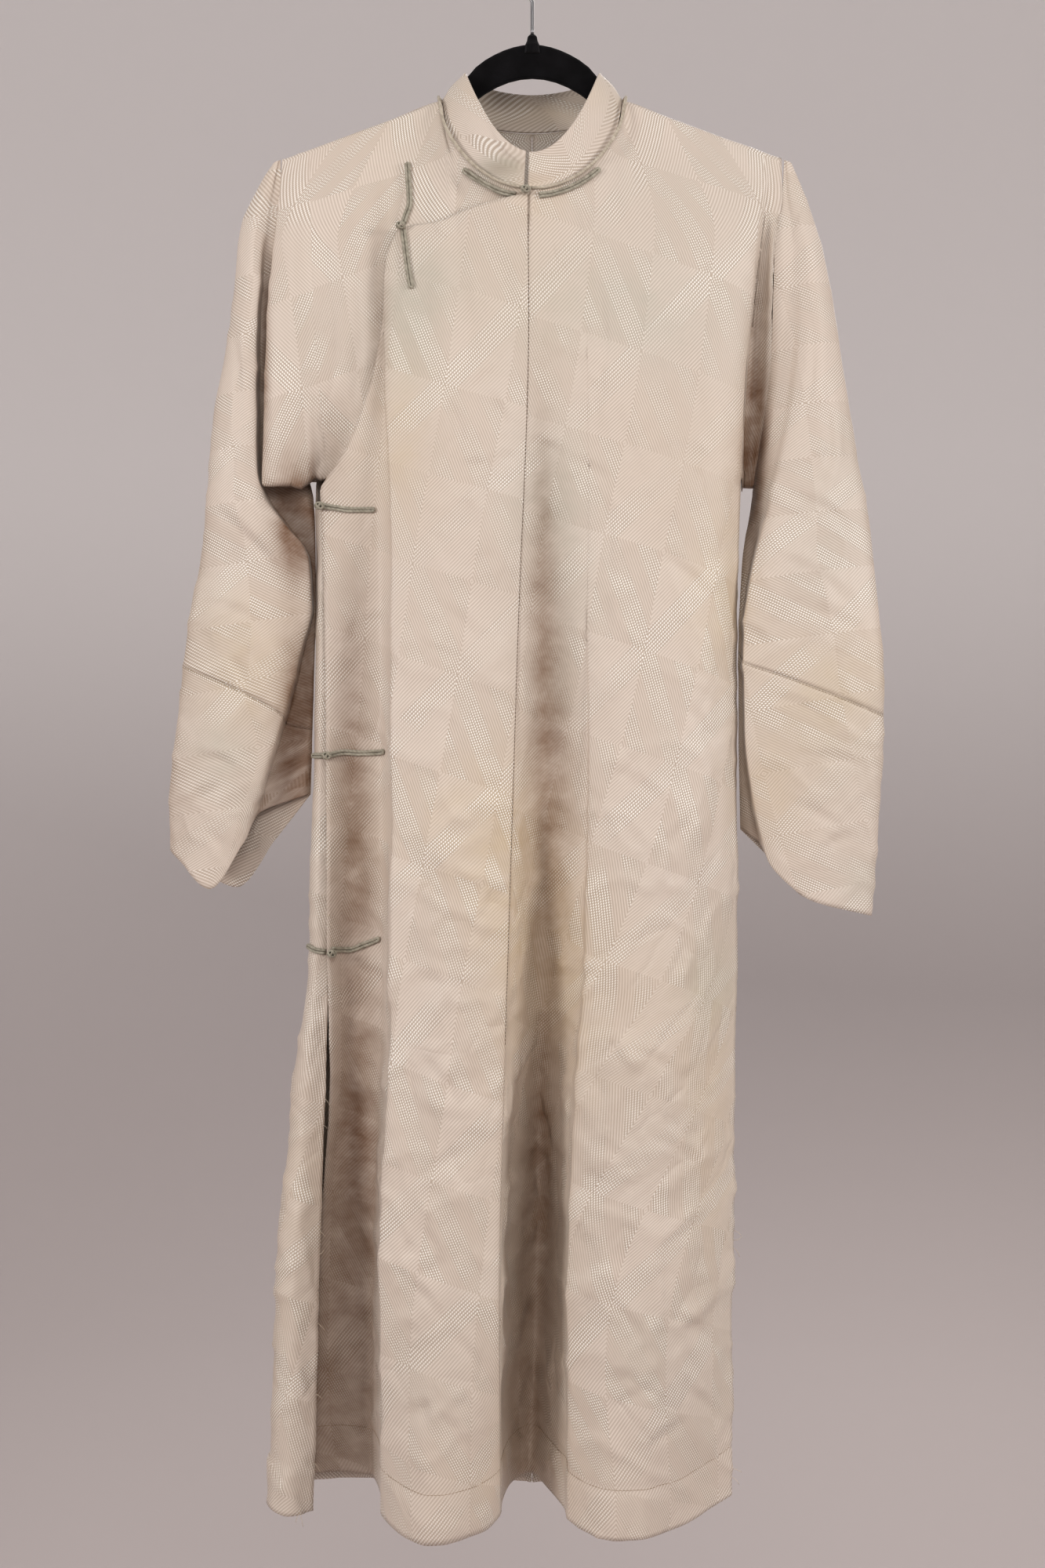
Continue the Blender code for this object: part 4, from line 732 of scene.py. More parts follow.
def sleeve_lines(sleeve: SleeveCut, inset: float = 0.0) -> list:
    """Lines round a sleeve from the underarm over the front to the outer edge and back again.

    Args:
        sleeve: The sleeve.
        inset: How far inside the hanger's end the cloth starts.

    Returns:
        Ten lines.
    """
    rows = sleeve.rows
    tip_x = sleeve.tip_x - math.copysign(inset, sleeve.tip_x)

    def spread(row: SleeveRow) -> float:
        """Half the space between the front and back valleys."""
        widest = SLEEVE_SPREAD_TOP * min(1.0, (ARMPIT_DROP - row.drop) / SLEEVE_SPREAD_FADE)
        return max(2 * CLOTH_WALL + SEAM_GAP + 0.2, widest) / 2

    def line(around: float, x_of: Callable, depth_of: Callable) -> SleeveLine:
        """A line at a place round the sleeve: 0 the inner edge, 0.5 mid front, 1 the outer edge."""
        start = tip_x + math.copysign(TIP_RADIUS * around, tip_x)
        seam, cuff = (monotone((0, 0.5, 1), drops[::-1], np.array([around]))[0]
                      for drops in (sleeve.seam, sleeve.cuff))
        return SleeveLine(start, [row.drop for row in rows], [x_of(row) for row in rows],
                          [depth_of(row) for row in rows], seam, cuff)

    def toward(share: float) -> Callable:
        """x at a share of the way from the inner edge to the outer one."""
        return lambda row: row.inner + (row.outer - row.inner) * share

    def beyond(share: float) -> Callable:
        """x at a share of the way from the crest to the outer edge."""
        return lambda row: row.crest + (row.outer - row.crest) * share

    def firm(row: SleeveRow) -> bool:
        """Whether the front layer ends in a crisp fold there, with the back layer well behind it."""
        return row.drop > sleeve.firm_drop

    return [
        line(0.0, toward(0.0), lambda row: row.inside - spread(row)),
        line(0.1, lambda row: row.crest + (row.inner - row.crest) * (0.07 if firm(row) else 0.3),
             lambda row: row.inside + (row.front - row.inside) * (0.12 if firm(row) else 0.5)),
        line(0.2, beyond(0.0), lambda row: row.inside + (row.front - row.inside) * 0.82),
        line(0.5, beyond(0.32), lambda row: row.front),
        line(0.85, beyond(0.80), lambda row: row.front * 0.8 + row.back * 0.2),
        line(1.0, toward(1.0), lambda row: row.front + (row.back - row.front) * 0.45),
        line(0.85, toward(0.86), lambda row: row.front * 0.12 + row.back * 0.88),
        line(0.5, toward(0.52), lambda row: row.back),
        line(0.2, toward(0.24), lambda row: row.inside + spread(row) + 0.06 * (row.back - row.inside)),
        line(0.0, toward(0.0), lambda row: row.inside + spread(row)),
    ]


def grid(chain: list, drops: np.ndarray, positions: np.ndarray) -> np.ndarray:
    """A grid of points over a chain of lines.

    Args:
        chain: The lines.
        drops: Drops shaped (lines, rows).
        positions: Places across the lines, one for each column.

    Returns:
        Points shaped (rows, columns, 3).
    """
    rows, columns = drops.shape[1], len(positions)
    points = np.stack([line.at(drop) for line, drop in zip(chain, drops)])
    spread = np.repeat(points, columns, axis=1)
    return across(spread, np.tile(positions, rows)).reshape(rows, columns, 3)


def line_drops(chain: list, levels: Sequence, rows: np.ndarray) -> np.ndarray:
    """Drops of each line of a chain at some rows, shaped (lines, rows)."""
    tables = [line.row_drops(levels) for line in chain]
    return np.stack([np.interp(rows, np.arange(len(table)), table) for table in tables])


def surface_of(lines: list) -> Callable:
    """The surface over fold lines, as a function of position and drop arrays."""
    return lambda position, drop: across(np.stack([line.at(drop) for line in lines]), position)


def walked(route: np.ndarray) -> np.ndarray:
    """Length along a route up to each of its points."""
    return np.concatenate([[0], np.cumsum(np.linalg.norm(np.diff(route, axis=0), axis=1))])


def position_at(surface: Callable, x: float, drop: float, first: float, last: float) -> float:
    """Position where a surface reaches x at a drop.

    Args:
        surface: The surface.
        x: Where, across.
        drop: Where, down.
        first: Position to search from.
        last: Position to search to.

    Returns:
        The position.
    """
    places = np.linspace(first, last, SEARCHED)
    return float(np.interp(x, surface(places, np.full(SEARCHED, float(drop)))[:, 0], places))


def uneven(places: np.ndarray, seed: float) -> np.ndarray:
    """Smooth uneven values over places, about one swell to a unit.

    Args:
        places: Places shaped (places, 3).
        seed: Shifts the pattern.

    Returns:
        Values from -1 to 1.
    """
    base = np.floor(places)
    share = places - base
    share = share * share * (3 - 2 * share)
    total = np.zeros(len(places))
    for corner in product((0, 1), repeat=3):
        weight = np.prod(np.where(corner, share, 1 - share), axis=1)
        key = np.sin((base + corner) @ (127.1, 311.7, 74.7) + seed) * 43758.5453
        total += weight * (2 * (key - np.floor(key)) - 1)
    return total


# Cloth meshes

class ClothMesh:
    """Points, flat-cloth places and quads of a piece of cloth, gathered from patches."""

    def __init__(self) -> None:
        """Start with nothing."""
        self.points: list = []
        self.flat: list = []
        self.quads: list = []
        self.count = 0

    def patch(self, points: np.ndarray, across_start: np.ndarray | float = 0.0, sign: float = 1.0,
              hung: bool = True) -> np.ndarray:
        """Add a grid of points, whose outer side is to the right of its columns' way.

        Args:
            points: The grid, shaped (rows, columns, 3), in millimetres.
            across_start: Flat-cloth place across the piece at the first column, for each row.
            sign: 1 where that place grows with the columns, -1 where it falls.
            hung: Whether the cloth's grain hangs straight down, and not square to a band's edge.

        Returns:
            The flat-cloth place across the piece at the last column, for each row.
        """
        rows, columns = points.shape[:2]
        steps = np.linalg.norm(np.diff(points, axis=1), axis=2)
        walk = np.concatenate([np.zeros((rows, 1)), np.cumsum(steps, axis=1)], axis=1)
        place = np.reshape(across_start * np.ones(rows), (rows, 1)) + sign * walk
        falls = np.linalg.norm(np.diff(points, axis=0), axis=2)
        middle = np.concatenate([[0.0], np.cumsum(falls[:, columns // 2])])
        down = -points[0, columns // 2, 2] + middle
        drift = (points[:, columns // 2, 2][:, None] - points[:, :, 2]) * hung
        hem = points[:, :, 2] - points[-1:, :, 2]
        flat = np.stack([place, down[:, None] + drift, hem], axis=2)
        base = self.count + np.arange(rows * columns).reshape(rows, columns)
        quads = np.stack([base[:-1, :-1], base[1:, :-1], base[1:, 1:], base[:-1, 1:]], axis=2)
        self.points.append(points.reshape(-1, 3))
        self.flat.append(flat.reshape(-1, 3))
        self.quads.append(quads.reshape(-1, 4))
        self.count += rows * columns
        return place[:, -1]

    def welded(self) -> tuple:
        """The piece with its patches joined where their points meet.

        Returns:
            Points, flat places and quads.
        """
        points, flat = np.concatenate(self.points), np.concatenate(self.flat)
        _, first, back = np.unique(np.round(points, 3), axis=0, return_index=True, return_inverse=True)
        return points[first], flat[first], back.reshape(-1)[np.concatenate(self.quads)]


def point_normals(points: np.ndarray, quads: np.ndarray) -> np.ndarray:
    """Unit normals of a mesh's points, averaged over its quads.

    Args:
        points: Its points.
        quads: Its quads as point indices.

    Returns:
        A normal for each point.
    """
    a, b, c, d = (points[quads[:, k]] for k in range(4))
    normal = np.cross(c - a, d - b)
    total = np.zeros_like(points)
    for k in range(4):
        np.add.at(total, quads[:, k], normal)
    return total / np.maximum(np.linalg.norm(total, axis=1, keepdims=True), 1e-9)


def crease_relief(points: np.ndarray, creases: Sequence) -> np.ndarray:
    """Height that a set of creases gives each point, seen from the front.

    Args:
        points: Points in millimetres.
        creases: The creases.

    Returns:
        A height for each point.
    """
    height = np.zeros(len(points))
    for crease in creases:
        start = np.array([crease.x, -crease.drop], float)
        way = np.array([crease.end_x, -crease.end_drop], float) - start
        length = np.linalg.norm(way)
        way /= length
        offset = points[:, [0, 2]] - start
        along = offset @ way / length
        width = max(crease.width, FINEST_CREASE)
        bend = CREASE_BOW * length * np.sin(along * math.pi)
        aside = offset @ np.array([-way[1], way[0]]) - bend
        fade = np.clip(CREASE_END - 2 * CREASE_END * np.abs(along - 0.5), 0, 1) ** CREASE_FADE
        trough = np.exp(-(aside / width) ** 2)
        ridge = np.exp(-((aside - RIDGE_PLACE * width) / (RIDGE_WIDTH * width)) ** 2)
        height += 2 * crease.depth * fade * (RIDGE_HEIGHT * ridge - trough)
    return height


@dataclass(frozen=True)
class Crumple:
    """Uneven soft crumpling of worn silk: swells, and sharper folds that cross them both ways.

    A size is that of one swell in x, depth and drop, in millimetres, and a lean is how far a fold runs
    on for one swell aside, by drop and by x.
    """
    broad: tuple = (62, 90, 95)
    middle: tuple = (30, 60, 44)
    fold: tuple = (44, 80, 60)
    fold_lean: tuple = (90, -90)
    cross: tuple = (52, 80, 52)
    cross_lean: tuple = (-70, 80)
    fine: tuple = (17, 60, 26)
    fine_lean: tuple = (40, -60)
    sharpness: float = 3.2
    fine_sharpness: float = 2.6
    weights: tuple = (0.34, 0.27, 0.42, 0.38, 0.36)

    def height(self, points: np.ndarray, seed: float, size: float, calm_above: float) -> np.ndarray:
        """The height of the crumpling at each point, deeper towards the hem.

        Args:
            points: Points in millimetres.
            seed: Shifts the pattern from piece to piece.
            size: The size of the largest bumps.
            calm_above: Drop above which the cloth is about half as crumpled.

        Returns:
            A height for each point.
        """
        broad = uneven(points / self.broad, seed)
        middle = uneven(points / self.middle + 0.6 * broad[:, None] * (1, 0, 1), seed + 3)
        bent = self.leaned(points, self.fold, self.fold_lean) + 0.35 * middle[:, None]
        fold = self.folds(bent, seed + 7, self.sharpness) ** 2
        bent = self.leaned(points, self.cross, self.cross_lean) + 0.3 * broad[:, None]
        cross = self.folds(bent, seed + 9, self.sharpness) ** 2
        bent = self.leaned(points, self.fine, self.fine_lean) + broad[:, None] * (1, 0, 0)
        fine = self.folds(bent, seed + 12, self.fine_sharpness)
        fine *= np.clip(1.5 * broad + 0.5 * middle + 0.3, 0, 1)
        low = np.clip((-points[:, 2] - calm_above) / 500 + 0.5, 0.45, 1)
        parts = (broad, middle, fold * (middle > 0), cross, fine)
        return size * low * sum(weight * part for weight, part in zip(self.weights, parts))

    @staticmethod
    def leaned(points: np.ndarray, size: tuple, lean: tuple) -> np.ndarray:
        """Places in a pattern of a size whose folds lean over."""
        aside = [points[:, 2] / lean[0], np.zeros(len(points)), points[:, 0] / lean[1]]
        return points / size + np.stack(aside, axis=1)

    @staticmethod
    def folds(places: np.ndarray, seed: float, sharpness: float) -> np.ndarray:
        """Narrow folds where the uneven values pass through 0."""
        return np.clip(1 - sharpness * np.abs(uneven(places, seed)), 0, 1)


def wear_and_shade_of(points: np.ndarray, seed: float) -> np.ndarray:
    """How strongly each kind of ageing, with the painted brown shade, shows at each point.

    Args:
        points: Points in millimetres.
        seed: Shifts the pattern from piece to piece.

    Returns:
        Strengths shaped (points, 3), in the order of Mark.
    """
    wear = np.zeros((len(points), 3))
    for tone_patch in STAINS_AND_SHADE:
        across_it = (points[:, 0] - tone_patch.x) / tone_patch.half_width
        down_it = (-points[:, 2] - tone_patch.drop) / tone_patch.half_height
        wear[:, tone_patch.kind.value] += tone_patch.strength * np.exp(-(across_it ** 2 + down_it ** 2))
    for kind, size, shift in ((Mark.YELLOW, (120, 120, 150), 1), (Mark.GREEN, (90, 90, 110), 5)):
        wear[:, kind.value] += MOTTLE * np.maximum(0, uneven(points / size, seed + shift))
    return np.clip(wear, 0, 1)


def hollow_shade(points: np.ndarray, normals: np.ndarray) -> np.ndarray:
    """Painted brown shade on cloth that faces front from deep inside a fold, where shade falls.

    Args:
        points: Points in millimetres.
        normals: Their normals.

    Returns:
        A strength for each point.
    """
    below_neck = np.clip((-points[:, 2] - HOLLOW_DROP) / 60, 0, 1)
    facing = np.clip(-2 * normals[:, 1], 0, 1)
    inside = np.clip((points[:, 1] - HOLLOW_DEPTH) / 24, 0, 1)
    return HOLLOW_SHADE * below_neck * facing * inside


def linked(name: str, data: ID) -> Object:
    """A new object of the scene."""
    shape = bpy.data.objects.new(name, data)
    bpy.context.scene.collection.objects.link(shape)
    return shape


def placed(name: str, mesh: Mesh, material: Material) -> Object:
    """A smooth named object of a mesh, riding on the body.

    Args:
        name: The piece's name.
        mesh: Its mesh.
        material: Its finish.

    Returns:
        The object.
    """
    mesh.shade_smooth()
    mesh.materials.clear()
    mesh.materials.append(material)
    shape = linked(name, mesh)
    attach(shape, BODY)
    return shape


def mesh_object(name: str, points: np.ndarray, faces: list, material: Material) -> Object:
    """A smooth named object from points in millimetres, riding on the body.

    Args:
        name: The piece's name.
        points: Points in millimetres.
        faces: Faces as tuples of point indices.
        material: Its finish.

    Returns:
        The object.
    """
    mesh = bpy.data.meshes.new(name)
    mesh.from_pydata((np.asarray(points) * MM).tolist(), [], faces)
    mesh.validate()
    return placed(name, mesh, material)


@dataclass
class ClothPiece:
    """One cut piece of the robe as a thin shell with its creases, its ageing and its painted shade."""
    name: str
    node: str
    mesh: ClothMesh
    finish: Material
    flat: tuple
    area: float
    creases: Sequence = ()
    grain: Grain = Grain.DOWN
    seed: float = 0.0
    roughened: float = 4.6
    calm_above: float = 600.0
    thickness: float = CLOTH_SHOWN
    slot: str = "silk_damask"
    relief: Callable | None = None
    seamed: bool = False
    skins: ClassVar[dict] = {}

    def build(self) -> Object:
        """Returns:
            The object.
        """
        points, flat, quads = self.mesh.welded()
        normals = point_normals(points, quads)
        height = crease_relief(points, self.creases)
        height += Crumple().height(points, self.seed, self.roughened, self.calm_above)
        if self.relief is not None:
            height += self.relief(flat)
        settle = np.clip((-points[:, 2] - NECK_SIDE_DROP) / NECK_CALM, 0.1, 1)
        if self.seamed:
            settle *= np.clip(np.abs(flat[:, 0]) / SEAM_CALM, 0, 1)
            dip = SEAM_DIP * np.exp(-(flat[:, 0] / SEAM_DIP_WIDTH) ** 2)
            points = points - np.outer(dip * np.sign(normals[:, 1].mean()), (0, 1, 0))
        if self.node.startswith("front"):
            settle *= np.clip((points[:, 0] - PRESSED_SIDE) / PRESSED_WIDTH, 0.25, 1)
        shaped = points + normals * (height * settle)[:, None]
        whole = (tuple(dict.fromkeys(quad)) for quad in quads.tolist())
        faces = [face for face in whole if len(face) > 2]
        shape = mesh_object(self.name, shaped, faces, self.finish)
        places = flat[:, [1, 0, 2]] if self.grain is Grain.ACROSS else flat
        self.store(shape.data, "cloth", places)
        # The ageing and the painted shade: the brown kind is soiling and painted shade, weaker on the back
        # pieces, and cloth deep in a fold gets more painted shade.
        wear = wear_and_shade_of(points, self.seed)
        if self.node.startswith("back"):
            wear[:, Mark.BROWN.value] *= BACK_TONE
        wear[:, Mark.BROWN.value] = np.clip(wear[:, Mark.BROWN.value] + hollow_shade(points, normals), 0, 1)
        self.store(shape.data, "wear", wear)
        self.skins[self.node] = BVHTree.FromPolygons(shaped.tolist(), faces)
        shell = shape.modifiers.new("cloth", "SOLIDIFY")
        shell.thickness = self.thickness * MM
        shell.offset = -1.0
        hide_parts(self.node)
        LOG.info("%s: %d points", self.name, len(points))
        return shape

    @classmethod
    def nearest(cls, nodes: Sequence, point: Vector) -> tuple:
        """The nearest place on some nodes' shown cloth: its position, normal, face and distance."""
        return min((cls.skins[node].find_nearest(point) for node in nodes), key=lambda hit: hit[3])

    @staticmethod
    def store(mesh: Mesh, name: str, values: np.ndarray) -> None:
        """Keep a vector for each point of a mesh under a name that its finish reads."""
        attribute = mesh.attributes.new(name, "FLOAT_VECTOR", "POINT")
        attribute.data.foreach_set("vector", values.astype(np.float32).ravel())


# Finishes

def linear(colour: str) -> tuple:
    """An sRGB hex colour as linear red, green, blue and alpha."""
    parts = [int(colour[k:k + 2], 16) / 255 for k in (1, 3, 5)]
    return (*(c / 12.92 if c <= 0.04045 else ((c + 0.055) / 1.055) ** 2.4 for c in parts), 1.0)


def fill(tree: NodeTree, node: Node, inputs: dict) -> None:
    """Set a node's inputs.

    Args:
        tree: The node's tree.
        node: The node.
        inputs: Socket name or number to a value, or to the output or node that feeds it.
    """
    for socket, value in inputs.items():
        if isinstance(value, Node):
            value = value.outputs[0]
        if isinstance(value, NodeSocket):
            tree.links.new(value, node.inputs[socket])
        else:
            node.inputs[socket].default_value = value


def add_node(tree: NodeTree, kind: str, inputs: dict | None = None, **settings) -> Node:
    """Add a node with its settings and its inputs.

    Args:
        tree: The tree that gets it.
        kind: The shader node's type.
        inputs: Its inputs, as fill takes them.
        **settings: The node's own settings.

    Returns:
        The node.
    """
    node = tree.nodes.new(f"ShaderNode{kind}")
    for name, value in settings.items():
        setattr(node, name, value)
    fill(tree, node, inputs or {})
    return node


def new_material(name: str, roughness: float) -> tuple:
    """An empty material with a Principled shader.

    Args:
        name: Its name.
        roughness: The shader's roughness.

    Returns:
        The material, its tree and its shader.
    """
    material = bpy.data.materials.new(name)
    material.use_nodes = True
    shader = material.node_tree.nodes["Principled BSDF"]
    shader.inputs["Roughness"].default_value = roughness
    return material, material.node_tree, shader


@dataclass(frozen=True)
class SilkDamask:
    """Figured silk: ribs nested in lozenges, and warp floats along their sides, painted as bright dashes.

    The ribs give the ground a fine two-tone line. The floats' lighter tone and a painted highlight for their
    sheen show in the colour as short near-white strokes, which come and go in patches across the cloth in
    place of sheen that changes with the lie of the cloth. The real ribs lie 2.6 mm apart and are drawn a
    little coarser, so that they show in the render. Sizes are in millimetres on the flat cloth.
    """
    name: str = "silk_damask"
    ground: str = "#B9AA9C"
    rib: str = "#E4D9CF"
    # the floats' own lighter tone with a painted highlight for their sheen
    float_silk_and_sheen: str = "#FFFCF6"
    mark_tints: tuple = (("#AFB1A4", 0.5), ("#C4AE82", 0.4), ("#6B4522", 0.85))     # by Mark: tint and cover; the brown is soiling with painted shade
    ribs: float = 20.0               # from a lozenge's middle to its side
    tall: float = 93.0               # between the sides that lean right
    wide: float = 80.0               # and between the steep sides
    lean_right: float = 46.0         # degrees from level
    lean_left: float = 68.0
    dash: float = 2.2                # from float to float along a side
    warp_size: float = 300.0         # how the lozenges drift from square, and how far
    warp: float = 18.0
    near_size: float = 48.0          # patches in which the figure comes and goes
    far_size: float = 170.0
    edge_band: float = 0.39          # floats lie from here to a lozenge's side, which is at 0.5,
    inner_band: tuple = (0.065, 0.235)               # and on a ring between its steep sides
    dash_from: float = 0.22
    dash_gain: float = 3.4
    near_fade: tuple = (0.30, 5.0, 0.3)              # where a patch starts to show, how fast, the least
    far_fade: tuple = (0.22, 3.0, 0.45)
    rib_contrast: float = 0.45       # what always shows of the ribs, and as much again comes and goes
    ground_tone: float = 0.48
    facet: float = 0.16              # the sides that lean right are painted lighter, as sheen, in the lustre patches,
    behind_floats: float = -0.35     # and the ground between floats darker
    roughness: float = 0.5
    float_roughness: float = 0.28
    blotch_size: float = 26.0
    thread: float = 1.6              # threads to a millimetre, coarser than the real ones
    relief: float = 0.0002           # metres
    crease_size: float = 36.0        # between sharp creases, which stray aside and come in patches
    stray_size: float = 30.0
    stray: float = 14.0
    patch_size: float = 70.0
    crease_depth: float = 0.0012     # metres

    def material(self) -> Material:
        """Draw the finish.

        Returns:
            The material.
        """
        material, tree, shader = new_material(self.name, self.roughness)
        flat = add_node(tree, "Attribute", attribute_name="cloth").outputs["Vector"]
        bend = add_node(tree, "TexNoise", {"Vector": flat, "Scale": 1 / self.warp_size, "Detail": 0.0})
        drift = (self.warp, self.warp, 0.0)
        bent = add_node(tree, "VectorMath", {0: bend.outputs["Color"], 1: drift, 2: flat},
                        operation="MULTIPLY_ADD")
        place = add_node(tree, "SeparateXYZ", {0: bent})
        near = add_node(tree, "TexNoise", {"Vector": flat, "Scale": 1 / self.near_size, "Detail": 1.0})
        far = add_node(tree, "TexNoise", {"Vector": flat, "Scale": 1 / self.far_size, "Detail": 1.0})
        values = {"u": place.outputs["X"], "v": place.outputs["Y"], "near": near.outputs["Fac"],
                  "far": far.outputs["Fac"]}
        right, left = math.radians(self.lean_right), math.radians(self.lean_left)
        skew = math.sin(math.pi - right - left) * self.dash
        near_from, near_gain, near_least = self.near_fade
        far_from, far_gain, far_least = self.far_fade
        # The near and far patches, with shine and lustre, set where the painted float highlights and the
        # facets' painted sheen show.
        steps = (
            # name, operation, terms
            ("s_part", "MULTIPLY", "u", math.sin(right) / self.tall),
            ("s", "MULTIPLY_ADD", "v", math.cos(right) / self.tall, "s_part"),
            ("t_part", "MULTIPLY", "u", math.sin(left) / self.wide),
            ("t", "MULTIPLY_ADD", "v", -math.cos(left) / self.wide, "t_part"),
            ("s_half", "PINGPONG", "s", 0.5),
            ("t_half", "PINGPONG", "t", 0.5),
            ("half", "MAXIMUM", "s_half", "t_half"),
            ("leans", "GREATER_THAN", "s_half", "t_half"),
            ("steep", "SUBTRACT", 1.0, "leans"),
            ("ring", "MULTIPLY", "half", 2 * self.ribs),
            ("rib_half", "PINGPONG", "ring", 0.5),
            ("rib", "MULTIPLY", "rib_half", 2.0),
            ("row", "FLOOR", "ring"),
            ("shift", "MULTIPLY", "row", 0.5),
            ("t_run", "MULTIPLY", "t", self.wide / skew),
            ("s_run", "MULTIPLY", "s", self.tall / skew),
            ("t_along", "MULTIPLY", "t_run", "leans"),
            ("along", "MULTIPLY_ADD", "s_run", "steep", "t_along"),
            ("beat", "ADD", "along", "shift"),
            ("stroke_half", "PINGPONG", "beat", 0.5),
            ("stroke", "MULTIPLY", "stroke_half", 2.0),
            ("bead", "MULTIPLY", "stroke", "rib"),
            ("bead_edge", "SUBTRACT", "bead", self.dash_from),
            ("bead_full", "MULTIPLY", "bead_edge", self.dash_gain),
            ("dot_low", "MAXIMUM", "bead_full", 0.0),
            ("dot", "MINIMUM", "dot_low", 1.0),
            ("on_edge", "GREATER_THAN", "half", self.edge_band),
            ("past_middle", "GREATER_THAN", "half", self.inner_band[0]),
            ("before_edge", "LESS_THAN", "half", self.inner_band[1]),
            ("on_ring", "MULTIPLY", "past_middle", "before_edge"),
            ("inside", "MULTIPLY", "on_ring", "steep"),
            ("band", "MAXIMUM", "on_edge", "inside"),
            ("near_low", "SUBTRACT", "near", near_from),
            ("near_full", "MULTIPLY", "near_low", near_gain),
            ("near_pos", "MAXIMUM", "near_full", near_least),
            ("fade", "MINIMUM", "near_pos", 1.0),
            ("far_low", "SUBTRACT", "far", far_from),
            ("far_full", "MULTIPLY", "far_low", far_gain),
            ("far_pos", "MAXIMUM", "far_full", far_least),
            ("lustre", "MINIMUM", "far_pos", 1.0),
            ("shine", "MULTIPLY", "fade", "lustre"),
            ("shown_band", "MULTIPLY", "band", "shine"),
            ("float", "MULTIPLY", "dot", "shown_band"),
            ("rib_show", "MULTIPLY_ADD", "fade", self.rib_contrast, self.rib_contrast),
            ("rib_swing", "SUBTRACT", "rib", 0.5),
            ("ribbed", "MULTIPLY_ADD", "rib_swing", "rib_show", self.ground_tone),
            ("leaning", "MULTIPLY", "leans", "lustre"),
            ("facet", "MULTIPLY_ADD", "leaning", self.facet, "ribbed"),
            ("tone", "MULTIPLY_ADD", "shown_band", self.behind_floats, "facet"),
        )
        for name, operation, *terms in steps:
            fed = {k: values.get(term, term) for k, term in enumerate(terms)}
            values[name] = add_node(tree, "Math", fed, operation=operation).outputs[0]
        self.dress(tree, shader, flat, values)
        return material

    def dress(self, tree: NodeTree, shader: Node, flat: NodeSocket, values: dict) -> None:
        """Turn the drawn weave, the ageing and the painted shade into colour, gloss and relief.

        Args:
            tree: The material's tree.
            shader: Its Principled shader.
            flat: The flat-cloth place.
            values: The weave's drawn values by name.
        """
        wear = add_node(tree, "Attribute", attribute_name="wear")
        kinds = add_node(tree, "SeparateXYZ", {0: wear.outputs["Vector"]})
        blotch = add_node(tree, "TexNoise", {"Vector": flat, "Scale": 1 / self.blotch_size, "Detail": 4.0,
                                             "Roughness": 0.6})
        grain = add_node(tree, "MapRange", {"Value": blotch, "From Min": 0.3, "From Max": 0.7, "To Min": 0.55,
                                            "To Max": 1.1})
        colour = add_node(tree, "Mix", {0: values["tone"], 6: linear(self.ground), 7: linear(self.rib)},
                          data_type="RGBA").outputs[2]
        # The ageing tints; the brown one is soiling and painted shade in hollows.
        for kind, (tint, cover) in enumerate(self.mark_tints):
            strength = add_node(tree, "Math", {0: kinds.outputs[kind], 1: grain}, operation="MULTIPLY")
            part = add_node(tree, "Math", {0: strength, 1: cover}, operation="MULTIPLY", use_clamp=True)
            colour = add_node(tree, "Mix", {0: part, 6: colour, 7: linear(tint)}, data_type="RGBA").outputs[2]
        # The floats show less where the brown soiling and painted shade lie.
        clear_of_brown = add_node(tree, "Math", {0: kinds.outputs[Mark.BROWN.value], 1: -1.3, 2: 1.0},
                         operation="MULTIPLY_ADD", use_clamp=True)
        floats = add_node(tree, "Math", {0: values["float"], 1: clear_of_brown}, operation="MULTIPLY")
        # painted highlight: the floats' lighter tone and sheen mixed into the colour
        colour = add_node(tree, "Mix", {0: floats, 6: colour, 7: linear(self.float_silk_and_sheen)}, data_type="RGBA")
        gloss = add_node(tree, "MapRange", {"Value": values["float"], "To Min": self.roughness,
                                            "To Max": self.float_roughness})
        thread = add_node(tree, "TexNoise", {"Vector": flat, "Scale": self.thread, "Detail": 1.0})
        raised = add_node(tree, "Math", {0: values["rib"], 1: 0.8, 2: values["float"]},
                          operation="MULTIPLY_ADD")
        height = add_node(tree, "Math", {0: thread, 1: 0.35, 2: raised}, operation="MULTIPLY_ADD")
        bump = add_node(tree, "Bump", {"Height": height, "Strength": 0.5, "Distance": self.relief})
        fill(tree, shader, {"Base Color": colour.outputs[2], "Roughness": gloss,
                            "Normal": self.crushed(tree, flat, bump), "Sheen Weight": 0.12,
                            "Sheen Roughness": 0.4, "Specular IOR Level": 0.5})

